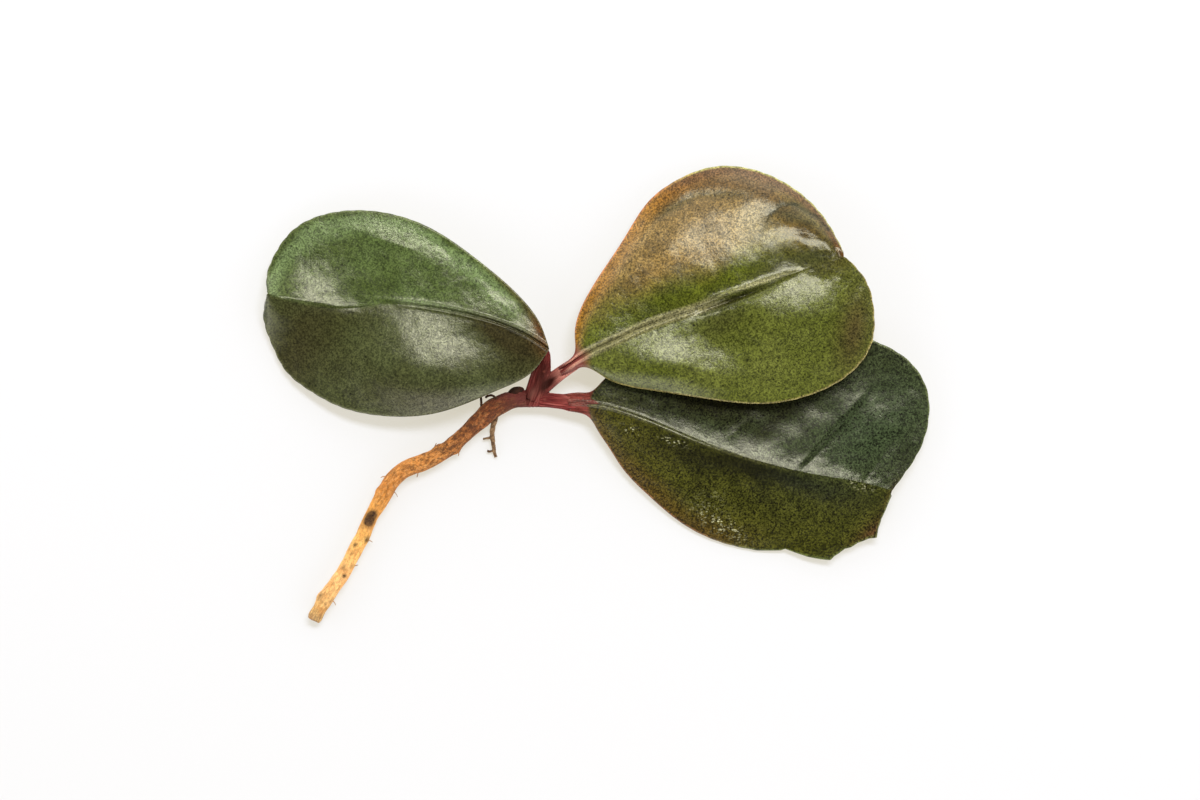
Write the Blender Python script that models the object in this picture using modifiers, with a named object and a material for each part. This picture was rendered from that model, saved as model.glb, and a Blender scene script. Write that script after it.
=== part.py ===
"""A rooted cutting with three thick leaves, lying down on a flat surface.

A bare stem lies on the surface and ends in a red crown with three leaf stalks. Each stalk carries one
thick blade. The right-hand blades overlap: the upper one arches over the lower one and leans on its
own far edge. Sizes are in millimetres here and become metres when a mesh is made. +X runs from the
cut end towards the right-hand leaves, +Y away from the viewer and +Z up from the surface. The origin
is on the surface, under the middle of the cutting.
"""
import math

import bmesh
import bpy
import numpy
from mathutils import Vector

MM = 0.001
GAP = 0.3                # mm between two neighbouring pieces

# Blades
BLADE_THICK = 1.15       # mm, away from the midrib
KEEL_THICK = 2.1         # mm, at the midrib beside the stalk
KEEL_HALF_WIDTH = 2.0    # mm
ALONG = 72               # strips from a blade's base to its tip
ACROSS = 12              # strips from edge to edge
TEETH = 18               # shallow round teeth on each edge, most of them worn flat near the base
TOOTH_DEPTH = 0.30       # mm
TOOTH_MEAN = 0.6         # height on a tooth, as a share of its depth, that lies on the edge's line
TOOTH_START = 0.30       # share of the edge's length where the teeth begin
EDGE_ONLY = 8            # the higher, the nearer to the edge the teeth's shift ends
EVENNESS = 0.45          # of the strips across: less than 1 draws them to the rib and the edges
FINE_STEPS = 40          # steps a given point, where a smooth line is measured
SWELL_END = 5            # the higher, the nearer to the edge the swells and folds end
FOLD_ROUND = 0.12        # mm, of a fold's crest

# Points along each blade, base to tip, as x, y, z in mm. far is the edge on the +Y side.
# swells: x, y, turn in degrees, reach along, reach across and height.
# folds: x, y of one end, x, y of the other, reach to each side and height of the crest.
LEFT_LEAF = {
    "rib": [(-11.6, 11.2, 8.8), (-14.5, 13.2, 9.0), (-26.4, 18.5, 8.2), (-42.0, 21.9, 7.0),
            (-49.6, 22.6, 6.3), (-60.0, 21.6, 5.0), (-72.5, 22.5, 3.3), (-81.5, 25.2, 2.0)],
    "far": [(-11.7, 12.1, 8.7), (-13.4, 16.3, 7.7), (-18.5, 23.9, 6.8), (-29.3, 33.4, 5.6),
            (-42.3, 42.0, 4.5), (-54.1, 45.6, 3.6), (-65.0, 45.6, 2.8), (-75.5, 41.3, 2.1),
            (-80.3, 34.9, 1.7), (-82.2, 28.5, 1.5), (-81.9, 25.8, 1.8)],
    "near": [(-12.0, 10.2, 8.6), (-16.0, 5.6, 7.8), (-23.9, 1.4, 7.2), (-40.1, -4.6, 6.3),
             (-52.0, -5.3, 5.4), (-64.4, -2.7, 4.2), (-71.5, 1.1, 3.2), (-77.5, 6.0, 2.2),
             (-80.8, 12.2, 1.4), (-83.0, 20.5, 1.1), (-82.0, 24.6, 1.7)],
    "crown": {"far": 0.050, "near": 0.060},
    "groove": {"far": 4.5, "near": 5.5},
    "roll": {"far": 3.0, "near": 3.0},
    "swells": [(-72.0, 23.5, -6, 11.5, 7.5, 3.9), (-35.7, 4.2, -22, 14.0, 9.5, 3.6)],
    "folds": [],
    "torn": [],
}
UPPER_LEAF = {
    "rib": [(-4.0, 9.3, 7.6), (5.4, 13.9, 8.8), (15.1, 18.1, 9.8), (25.2, 21.3, 10.6),
            (39.0, 26.9, 11.2), (48.3, 29.7, 11.2), (61.0, 34.1, 10.2)],
    "far": [(-5.1, 10.8, 7.5), (-5.2, 15.0, 6.7), (-1.8, 25.6, 5.0), (7.0, 39.2, 3.0),
            (13.3, 48.6, 1.8), (20.2, 53.7, 1.3), (29.5, 57.0, 1.0), (39.5, 56.1, 1.6),
            (49.9, 50.8, 3.3), (57.1, 42.9, 6.4), (60.9, 35.4, 10.1)],
    "near": [(-3.1, 7.7, 7.4), (1.7, 4.3, 7.9), (14.6, 1.0, 8.9), (31.7, -1.6, 9.6),
             (43.0, -2.1, 9.8), (54.2, 0.5, 9.8), (63.0, 5.6, 9.6), (67.9, 12.5, 9.5),
             (68.6, 20.3, 9.4), (66.4, 28.5, 9.7), (61.9, 33.6, 10.3)],
    "crown": {"far": 0.060, "near": 0.035},
    "groove": {"far": 8.0, "near": 3.5},
    "roll": {"far": 2.5, "near": 3.0},
    "swells": [(13.5, 7.6, -12, 17.0, 7.0, 2.2), (50.3, 19.5, 12, 15.0, 7.5, 2.3),
               (30.0, 39.5, 24, 26.0, 10.0, 1.7), (53.5, 46.0, -50, 9.0, 5.0, 1.3),
               (8.0, 33.0, 62, 12.0, 5.0, 0.7)],
    "folds": [],
    "torn": [],
}
LOWER_LEAF = {
    "rib": [(-2.1, -1.9, 5.5), (6.3, -3.9, 6.6), (24.8, -11.3, 7.4), (43.3, -17.8, 7.0),
            (55.0, -20.7, 6.2), (67.4, -22.9, 5.0), (73.5, -23.8, 4.2)],
    "far": [(-1.7, 0.6, 5.6), (2.1, 3.8, 5.8), (10.8, 9.2, 6.0), (23.2, 13.4, 6.0),
            (40.0, 16.3, 5.6), (58.0, 16.6, 5.0), (69.1, 13.4, 4.5), (77.5, 8.7, 3.8),
            (82.0, 2.2, 3.3), (82.8, -5.5, 3.1), (80.2, -14.2, 3.3), (75.7, -20.9, 3.8),
            (74.1, -23.0, 4.1)],
    "near": [(-2.5, -4.4, 5.0), (2.7, -12.3, 3.2), (6.4, -18.2, 2.5), (13.2, -25.3, 1.9),
             (20.7, -31.6, 1.4), (30.5, -36.6, 1.05), (42.3, -39.1, 1.05), (52.0, -39.9, 1.3),
             (60.0, -39.3, 1.6), (66.5, -36.0, 2.2), (70.5, -31.5, 3.0), (72.4, -26.8, 3.8),
             (73.2, -24.6, 4.1)],
    "crown": {"far": -0.042, "near": 0.020},
    "groove": {"far": 5.5, "near": 3.0},
    "roll": {"far": 3.0, "near": 3.0},
    "swells": [(71.4, -8.7, 38, 14.0, 6.5, 1.6)],
    "folds": [(49.1, -18.6, 64.2, -2.2, 7.0, 1.2)],
    # share of the near edge's length, mm that the edge stands out there (less than 0 is torn away),
    # and mm that it curls up
    "torn": [(0.600, 0.0, 0.0), (0.655, -0.7, 0.3), (0.665, -1.2, 0.5), (0.720, 0.4, 0.9),
             (0.775, 1.5, 1.1), (0.785, 0.7, 1.0), (0.805, 0.0, 0.9), (0.815, -0.3, 0.8),
             (0.830, 0.0, 0.7), (0.850, -0.1, 0.6), (0.878, 0.7, 0.5), (0.892, 1.9, 0.5),
             (0.910, 0.7, 0.3), (0.935, 0.1, 0.0), (1.000, 0.4, 0.0)],
}

# The main axis, from the stem's cut end to the lower leaf, as x, y, z and radius in mm
MAIN_AXIS = [
    (-70.6, -56.1, 1.60, 1.70), (-67.3, -50.4, 1.72, 1.85), (-63.7, -45.1, 1.66, 1.78),
    (-60.5, -39.4, 1.62, 1.74), (-58.1, -34.7, 1.66, 1.78), (-56.4, -30.6, 1.60, 1.70),
    (-54.2, -26.9, 1.70, 1.82), (-52.5, -23.9, 1.86, 1.98), (-50.5, -20.8, 1.94, 2.05),
    (-47.8, -18.6, 1.96, 2.06), (-43.8, -17.0, 2.00, 2.10), (-39.7, -15.1, 1.96, 2.04),
    (-35.6, -12.3, 1.90, 1.96), (-31.8, -8.9, 2.00, 1.96), (-28.9, -6.1, 2.30, 2.20),
    (-26.0, -3.6, 2.60, 2.45), (-22.8, -1.9, 2.60, 2.25), (-19.7, -1.1, 2.70, 2.05),
    (-16.3, -0.9, 3.00, 2.15), (-12.6, -1.2, 3.30, 1.85), (-9.1, -1.6, 3.80, 1.90),
    (-5.3, -1.9, 4.20, 2.20), (-2.6, -1.95, 4.40, 2.60),
]
AXIS_STRIPS = 80
LEFT_STALK = [(-15.8, -0.4, 3.0, 2.5), (-15.2, 1.7, 3.7, 2.3), (-14.4, 3.9, 4.4, 2.1),
              (-13.4, 6.2, 5.0, 1.9), (-12.8, 8.2, 5.5, 1.6), (-12.3, 9.9, 6.0, 1.35)]
UPPER_STALK = [(-15.0, 0.2, 3.2, 1.9), (-11.8, 3.3, 4.3, 1.75), (-8.6, 5.7, 5.3, 1.70),
               (-5.4, 7.9, 6.2, 1.70), (-4.5, 8.7, 6.5, 1.75)]
STALK_FLATNESS = 0.80    # a stalk's height over its width
CHANNEL_DEPTH = 0.28     # of a stalk's radius, along its top
CHANNEL_WIDTH = 0.30     # of a stalk's radius

SIDE_ROOT = [(-25.4, -4.6, 2.0, 0.95), (-25.4, -6.0, 1.7, 0.80), (-25.8, -7.7, 1.3, 0.65),
             (-26.0, -10.6, 0.95, 0.60), (-25.7, -12.7, 0.80, 0.50), (-25.5, -14.2, 0.70, 0.42),
             (-25.1, -15.5, 0.60, 0.38)]
ROOT_HAIRS = [[(-26.0, -10.4, 0.9, 0.30), (-27.2, -10.8, 0.8, 0.30), (-28.4, -10.9, 0.8, 0.30)],
              [(-25.6, -13.9, 0.7, 0.30), (-26.5, -14.1, 0.6, 0.30), (-27.3, -14.0, 0.6, 0.30)]]
STEM_THREADS = [[(-24.6, -1.2, 4.0, 0.30), (-25.6, -0.3, 3.9, 0.30), (-26.6, -0.1, 3.3, 0.30),
                 (-27.6, -0.6, 2.7, 0.30)],
                [(-28.3, -4.3, 3.2, 0.34), (-28.6, -3.0, 3.4, 0.32), (-28.7, -1.6, 3.0, 0.30),
                 (-28.8, -0.6, 2.4, 0.30)]]
BUD_CENTRE = (-20.2, 0.7, 3.3)
BUD_SIZE = (1.7, 1.6, 1.7)
BUD_TAPER = 0.3
BUD_LEAN = (math.radians(-50), 0.0, math.radians(20))

# The surface that the stem lies on, where it presses a flat spot
SURFACE_SIZE = (60.0, 60.0, 4.0)
SURFACE_CENTRE = (-50.0, -35.0, -2.0)

# How finely the pieces are cut
WELD = 0.0005            # mm
SHARP_ANGLE = math.radians(50)
TUBE_CORNERS = 12
STEM_LENGTH = 79.0       # mm, along its bends
STEM_STRIPS = 44
STALK_CORNERS = 14
STALK_STRIPS = 14
ROOT_CORNERS = 10
ROOT_STRIPS = 14
HAIR_STRIPS = 4
THREAD_CORNERS = 6
THREAD_STRIPS = 6
BUD_CORNERS = 14
BUD_RINGS = 10


def millimetres(*values):
    """A vector in metres from values in millimetres."""
    return Vector(value * MM for value in values)


def natural_spline(places, values, wanted):
    """Values at the wanted places on a natural cubic spline through the given ones."""
    count = len(places)
    gaps = numpy.diff(places)
    climbs = numpy.diff(values, axis=0) / gaps[:, None]
    system = numpy.eye(count)
    sides = numpy.zeros_like(values)
    for i in range(1, count - 1):
        system[i, i - 1:i + 2] = gaps[i - 1], 2 * (gaps[i - 1] + gaps[i]), gaps[i]
        sides[i] = 6 * (climbs[i] - climbs[i - 1])
    bends = numpy.linalg.solve(system, sides)
    piece = numpy.clip(numpy.searchsorted(places, wanted) - 1, 0, count - 2)
    gap = gaps[piece][:, None]
    after = (wanted - places[piece])[:, None] / gap
    before = 1 - after
    return (before * values[piece] + after * values[piece + 1]
            + ((before ** 3 - before) * bends[piece]
               + (after ** 3 - after) * bends[piece + 1]) * gap ** 2 / 6)


def walked(points):
    """Distance walked along a row of points, up to each point."""
    steps = numpy.linalg.norm(numpy.diff(points[:, :3], axis=0), axis=1)
    return numpy.concatenate(([0.0], numpy.cumsum(steps)))


def smooth_line(points, strips):
    """Evenly spaced points on one smooth line through the given points."""
    given = numpy.array(points, dtype=float)
    places = walked(given)
    fine = natural_spline(places, given, numpy.linspace(0, places[-1], FINE_STEPS * len(given)))
    distance = walked(fine)
    even = numpy.linspace(0, distance[-1], strips + 1)
    return numpy.column_stack([numpy.interp(even, distance, column) for column in fine.T])


def outward_normals(edge, rib):
    """Flat unit vectors square to an edge, pointing away from the rib."""
    along = numpy.gradient(edge[:, :2], axis=0)
    normals = numpy.column_stack((along[:, 1], -along[:, 0]))
    normals /= numpy.linalg.norm(normals, axis=1)[:, None]
    away = numpy.sign(numpy.sum(normals * (edge - rib)[:, :2], axis=1))
    away[away == 0] = 1
    return normals * away[:, None]


def tooth_shift(edge, rib, torn):
    """How far each point of an edge stands out, with its round teeth and its torn stretch, in mm."""
    share = numpy.linspace(0, 1, len(edge))
    grown = numpy.clip((share - TOOTH_START) / (1 - TOOTH_START), 0, 1)
    stand = TOOTH_DEPTH * grown * (numpy.abs(numpy.sin(math.pi * TEETH * share)) - TOOTH_MEAN)
    lift = numpy.zeros_like(share)
    if torn:
        places, outward, upward = zip(*torn)
        stand = numpy.where(share > places[0], 0, stand) + numpy.interp(share, places, outward)
        lift = numpy.interp(share, places, upward)
    shift = numpy.zeros_like(edge)
    shift[1:-1, :2] = outward_normals(edge, rib)[1:-1] * stand[1:-1, None]
    shift[:, 2] = lift
    return shift


def spot(x, y, where):
    """1 at the middle of a soft spot, falling to 0 around it."""
    middle_x, middle_y, turn, along, across = where
    turned = math.radians(turn)
    away_x = x - middle_x
    away_y = y - middle_y
    ahead = (away_x * math.cos(turned) + away_y * math.sin(turned)) / along
    aside = (away_y * math.cos(turned) - away_x * math.sin(turned)) / across
    return numpy.exp(-ahead ** 2 - aside ** 2)


def crest(x, y, fold):
    """1 on the line of a fold, falling away to each side and at its ends."""
    x1, y1, x2, y2, reach = fold
    length = math.hypot(x2 - x1, y2 - y1)
    ahead = ((x - x1) * (x2 - x1) + (y - y1) * (y2 - y1)) / length ** 2
    aside = ((y - y1) * (x2 - x1) - (x - x1) * (y2 - y1)) / length
    away = numpy.sqrt(aside ** 2 + FOLD_ROUND ** 2) - FOLD_ROUND
    return numpy.exp(-away / reach) * numpy.exp(-(numpy.abs(ahead - 0.5) / 0.5) ** 4)


def half_blade(rib, edge, shift, form, side, share):
    """One strip of points at a share of the way from the rib to an edge.

    The face rises out of the groove at the rib, rolls over towards the edge, and has swells and folds.
    """
    width = numpy.linalg.norm((edge - rib)[:, :2], axis=1)
    groove = form["groove"][side]
    rise = 1 - numpy.exp(-share * width / groove)
    whole = 1 - numpy.exp(-width / groove)
    strip = rib + (edge - rib) * share + shift * share ** EDGE_ONLY
    x = strip[:, 0].copy()
    y = strip[:, 1].copy()
    strip[:, 2] += form["crown"][side] * width * (rise - whole * share ** form["roll"][side])
    inside = 1 - share ** SWELL_END
    for *where, height in form["swells"]:
        strip[:, 2] += inside * height * spot(x, y, where)
    for *line, height in form["folds"]:
        strip[:, 2] += inside * height * crest(x, y, line)
    return strip


def blade_strips(leaf):
    """The points of a blade's upper face, as an array of strip, place along and x, y, z in mm."""
    rib = smooth_line(leaf["rib"], ALONG)
    strips = []
    for column in range(ACROSS + 1):
        offset = 2 * column / ACROSS - 1
        side = "far" if offset > 0 else "near"
        reach = abs(offset)
        share = EVENNESS * reach + (1 - EVENNESS) * reach * reach * (3 - 2 * reach)
        edge = smooth_line(leaf[side], ALONG)
        shift = tooth_shift(edge, rib, leaf["torn"] if side == "near" else [])
        strips.append(half_blade(rib, edge, shift, leaf, side, share))
    return numpy.array(strips)


def blade(name, leaf, material):
    """One thick blade: a grid bent to the leaf's form, thickened downwards and pressed flat below."""
    strips = blade_strips(leaf)
    middle = ACROSS // 2
    sheet = bmesh.new()
    bmesh.ops.create_grid(sheet, x_segments=ALONG, y_segments=ACROSS, size=1.0)
    thickness = []
    for vert in sheet.verts:
        place = round((vert.co.x + 1) / 2 * ALONG)
        column = round((vert.co.y + 1) / 2 * ACROSS)
        point = strips[column, place]
        from_rib = math.dist(point[:2], strips[middle, place, :2])
        keel = (1 - place / ALONG) * math.exp(-(from_rib / KEEL_HALF_WIDTH) ** 2)
        thickness.append(BLADE_THICK + (KEEL_THICK - BLADE_THICK) * keel)
        vert.co = millimetres(*point)
    bmesh.ops.recalc_face_normals(sheet, faces=sheet.faces)
    if sum(face.normal.z for face in sheet.faces) < 0:
        bmesh.ops.reverse_faces(sheet, faces=sheet.faces)
    bmesh.ops.triangulate(sheet, faces=sheet.faces, quad_method="SHORT_EDGE")
    mesh = bpy.data.meshes.new(name)
    sheet.to_mesh(mesh)
    sheet.free()
    flat_sheet = bpy.data.objects.new(name, mesh)
    bpy.context.scene.collection.objects.link(flat_sheet)
    group = flat_sheet.vertex_groups.new(name="thickness")
    for index, depth in enumerate(thickness):
        group.add([index], depth / KEEL_THICK, "REPLACE")
    wall = flat_sheet.modifiers.new("Thickness", "SOLIDIFY")
    wall.thickness = KEEL_THICK * MM
    wall.offset = -1
    wall.use_even_offset = True
    wall.vertex_group = group.name
    solid = as_mesh(flat_sheet, name)
    for vert in solid.data.vertices:
        vert.co.z = max(vert.co.z, 0.0)
    return finished(solid, material)


def tube(name, line, corners, section=None):
    """A closed tube through points given as x, y, z and radius in mm."""
    curve = bpy.data.curves.new(name, "CURVE")
    curve.dimensions = "3D"
    curve.twist_mode = "Z_UP"
    curve.use_fill_caps = True
    curve.bevel_depth = MM
    curve.bevel_resolution = corners // 2 - 2
    if section:
        curve.bevel_mode = "OBJECT"
        curve.bevel_object = section
    spline = curve.splines.new("POLY")
    spline.points.add(len(line) - 1)
    for point, (x, y, z, radius) in zip(spline.points, line):
        point.co = (*millimetres(x, y, z), 1)
        point.radius = radius
    run = bpy.data.objects.new(name, curve)
    bpy.context.scene.collection.objects.link(run)
    return as_mesh(run, name)


def channelled_section():
    """The outline of a leaf stalk, 1 mm in radius: an oval with a shallow channel along its top."""
    curve = bpy.data.curves.new("stalk_section", "CURVE")
    curve.dimensions = "2D"
    spline = curve.splines.new("POLY")
    spline.use_cyclic_u = True
    spline.points.add(STALK_CORNERS - 1)
    for corner, point in enumerate(spline.points):
        angle = 2 * math.pi * (corner + 0.5) / STALK_CORNERS + math.pi / 2
        side = math.cos(angle)
        height = STALK_FLATNESS * math.sin(angle)
        if height > 0:
            height -= CHANNEL_DEPTH * math.exp(-(side / CHANNEL_WIDTH) ** 2)
        point.co = (*millimetres(side, height, 0), 1)
    outline = bpy.data.objects.new("stalk_section", curve)
    outline.hide_render = True
    outline.display_type = "WIRE"
    guides.objects.link(outline)
    return outline


def stretch(line, start, end, strips):
    """Evenly spaced points on the stretch of a line between two distances from its start, in mm."""
    distance = walked(line)
    even = numpy.linspace(start, end, strips + 1)
    return numpy.column_stack([numpy.interp(even, distance, column) for column in line.T])


def as_mesh(source, name):
    """A welded mesh object with what a curve or a modified object shows, in its place."""
    bpy.context.view_layer.update()
    shown = source.evaluated_get(bpy.context.evaluated_depsgraph_get())
    mesh = bpy.data.meshes.new_from_object(shown)
    welded = bmesh.new()
    welded.from_mesh(mesh)
    bmesh.ops.remove_doubles(welded, verts=welded.verts, dist=WELD * MM)
    bmesh.ops.recalc_face_normals(welded, faces=welded.faces)
    welded.to_mesh(mesh)
    welded.free()
    place = source.matrix_world.copy()
    bpy.data.objects.remove(source)
    mesh.name = name
    solid = bpy.data.objects.new(name, mesh)
    solid.matrix_world = place
    return solid


def finished(solid, material):
    """Put a finished solid in the parts' collection, smooth and in its own material."""
    solid.data.materials.clear()
    solid.data.materials.append(material)
    solid.data.shade_smooth()
    solid.data.set_sharp_from_angle(angle=SHARP_ANGLE)
    parts.objects.link(solid)
    return solid


def fused(name, first, others):
    """One body: the first piece and the others, joined by one Boolean union."""
    others_group = bpy.data.collections.new(name + "_pieces")
    bpy.context.scene.collection.children.link(others_group)
    for piece in others:
        others_group.objects.link(piece)
    bpy.context.scene.collection.objects.link(first)
    union = first.modifiers.new("Fuse", "BOOLEAN")
    union.operation = "UNION"
    union.operand_type = "COLLECTION"
    union.collection = others_group
    body = as_mesh(first, name)
    for piece in others:
        bpy.data.objects.remove(piece)
    bpy.data.collections.remove(others_group)
    return body


def cut_by(solid, cutter, label):
    """Cut a solid by a guide that stays in the file, drawn as wires."""
    cut = solid.modifiers.new(label, "BOOLEAN")
    cut.operation = "DIFFERENCE"
    cut.object = cutter


def guide(cutter):
    """File a cutter with the guides."""
    cutter.hide_render = True
    cutter.display_type = "WIRE"
    guides.objects.link(cutter)
    return cutter


def clearance_guide(axis):
    """The main axis with the gap added all round, which cuts what grows out of its side."""
    wide = axis.copy()
    wide[:, 3] += GAP
    return guide(tube("axis_clearance", wide, TUBE_CORNERS))


def surface_guide():
    """The surface under the stem, which presses a flat spot on the stem where it lies."""
    box = bmesh.new()
    bmesh.ops.create_cube(box, size=1.0)
    bmesh.ops.scale(box, verts=box.verts, vec=millimetres(*SURFACE_SIZE))
    bmesh.ops.translate(box, verts=box.verts, vec=millimetres(*SURFACE_CENTRE))
    mesh = bpy.data.meshes.new("surface")
    box.to_mesh(mesh)
    box.free()
    return guide(bpy.data.objects.new("surface", mesh))


def stem(axis, material, surface):
    """The brown stem with its two root threads, resting on a flat spot."""
    core = tube("stem", stretch(axis, 0.0, STEM_LENGTH, STEM_STRIPS), TUBE_CORNERS)
    threads = [tube("thread", smooth_line(line, THREAD_STRIPS), THREAD_CORNERS)
               for line in STEM_THREADS]
    body = finished(fused("stem", core, threads), material)
    cut_by(body, surface, "Rest")
    return body


def leaf_stalks(axis, material):
    """The red crown at the stem's top with the three leaf stalks grown out of it, as one body."""
    section = channelled_section()
    length = walked(axis)[-1]
    lower = tube("lower", stretch(axis, STEM_LENGTH + GAP, length, STALK_STRIPS), 0, section)
    left = tube("left", smooth_line(LEFT_STALK, STALK_STRIPS), 0, section)
    upper = tube("upper", smooth_line(UPPER_STALK, STALK_STRIPS), 0, section)
    return finished(fused("leaf_stalks", lower, [left, upper]), material)


def side_root(material, clearance):
    """The short root under the stem's swollen joint, with two hairs."""
    core = tube("root", smooth_line(SIDE_ROOT, ROOT_STRIPS), ROOT_CORNERS)
    hairs = [tube("hair", smooth_line(line, HAIR_STRIPS), THREAD_CORNERS) for line in ROOT_HAIRS]
    body = finished(fused("side_root", core, hairs), material)
    cut_by(body, clearance, "Seat")
    return body


def bud(material, clearance):
    """The pointed bud in the notch between the stem and the left leaf stalk."""
    knob = bmesh.new()
    bmesh.ops.create_uvsphere(knob, u_segments=BUD_CORNERS, v_segments=BUD_RINGS, radius=1.0)
    for vert in knob.verts:
        taper = 1 - BUD_TAPER * max(vert.co.z, 0.0)
        vert.co.x *= taper
        vert.co.y *= taper
    bmesh.ops.scale(knob, verts=knob.verts, vec=millimetres(*BUD_SIZE))
    mesh = bpy.data.meshes.new("bud")
    knob.to_mesh(mesh)
    knob.free()
    body = bpy.data.objects.new("bud", mesh)
    body.location = millimetres(*BUD_CENTRE)
    body.rotation_euler = BUD_LEAN
    finished(body, material)
    cut_by(body, clearance, "Seat")
    return body


def material(name, colour, roughness):
    """A plain finish: base colour and roughness, no metal."""
    finish = bpy.data.materials.new(name)
    finish.use_nodes = True
    shader = finish.node_tree.nodes["Principled BSDF"]
    shader.inputs["Base Color"].default_value = (*colour, 1)
    shader.inputs["Roughness"].default_value = roughness
    shader.inputs["Metallic"].default_value = 0.0
    return finish


for old in list(bpy.data.objects):
    bpy.data.objects.remove(old)
parts = bpy.data.collections.new("rooted_cutting")
guides = bpy.data.collections.new("guides")
bpy.context.scene.collection.children.link(parts)
bpy.context.scene.collection.children.link(guides)

main_axis = smooth_line(MAIN_AXIS, AXIS_STRIPS)
clearance = clearance_guide(main_axis)
surface = surface_guide()

stem(main_axis, material("bark", (0.45, 0.19, 0.06), 0.55), surface)
leaf_stalks(main_axis, material("stalk_red", (0.20, 0.04, 0.03), 0.35))
side_root(material("root_brown", (0.25, 0.13, 0.07), 0.65), clearance)
bud(material("bud_maroon", (0.05, 0.012, 0.008), 0.35), clearance)
blade("leaf_left", LEFT_LEAF, material("leaf_mid_green", (0.085, 0.115, 0.038), 0.38))
blade("leaf_upper", UPPER_LEAF, material("leaf_olive", (0.20, 0.17, 0.06), 0.38))
blade("leaf_lower", LOWER_LEAF, material("leaf_dark_green", (0.05, 0.06, 0.02), 0.38))
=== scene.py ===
"""The rooted cutting dressed: three waxy leaves, red stalks, bark, root and bud, lying on a pale table.

Sizes in the tables are in mm and become metres when a mesh is made, in the frame of the solids:
+X from the cut end towards the right-hand leaves, +Y away from the viewer, +Z up.
"""
import math

import bmesh
import bpy
import numpy as np
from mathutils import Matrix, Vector, noise


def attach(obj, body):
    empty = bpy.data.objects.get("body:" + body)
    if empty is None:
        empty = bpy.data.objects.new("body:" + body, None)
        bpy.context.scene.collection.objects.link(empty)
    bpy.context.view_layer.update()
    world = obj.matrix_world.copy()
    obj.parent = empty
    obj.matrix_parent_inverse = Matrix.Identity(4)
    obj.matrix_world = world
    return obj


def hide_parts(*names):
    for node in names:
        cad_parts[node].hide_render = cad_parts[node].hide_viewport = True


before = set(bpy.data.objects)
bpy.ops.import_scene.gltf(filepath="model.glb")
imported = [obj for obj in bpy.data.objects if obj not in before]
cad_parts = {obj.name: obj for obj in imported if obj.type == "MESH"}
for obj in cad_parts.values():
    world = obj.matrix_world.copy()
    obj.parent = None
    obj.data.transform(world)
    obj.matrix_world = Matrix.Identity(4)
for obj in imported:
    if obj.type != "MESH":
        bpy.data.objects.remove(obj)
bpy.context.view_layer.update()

MM = 0.001

# Blades: how finely each is cut, and its edges
BLADE_THICK = 1.15  # away from the midrib
KEEL_THICK = 2.1  # at the midrib beside the stalk
KEEL_HALF_WIDTH = 2.0
ALONG, ACROSS = 260, 124  # strips
EVENNESS = 0.42  # 1: strips of even width, less: closer ones beside the rib and the edge
FINE_STEPS = 40  # for each given point, before a line is cut evenly
TEETH = 26
TOOTH_DEPTH = 0.2
TOOTH_MEAN = 0.6  # taken off each tooth, so that the edge stays in place
TOOTH_START = 0.3  # share of an edge without teeth
EDGE_ONLY = 8  # higher: a narrower strip follows the teeth
SWELL_END = 5  # higher: swells and folds end nearer to the edge
FOLD_SHARP = 0.12  # mm that round off a fold's line
FOLD_ENDS = 4  # higher: a fold fades later along its length
RIDGE_WIDTH = 0.55  # of the rib's ridges, as a share of their distance from it
TRENCH_WIDTH = 0.5  # of the dip between them, also as a share
TRENCH_DEPTH = 0.9
LUMP_SIZE = 5
LUMP_FREE = 3  # mm beside the edge where the lumps fade out
RIM_ROUND = 0.24  # height of the rounding at a blade's edge
RIM_REACH = 1.6  # its width, in heights
RIM_STEEP = 0.96  # 1 would end it upright

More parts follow.
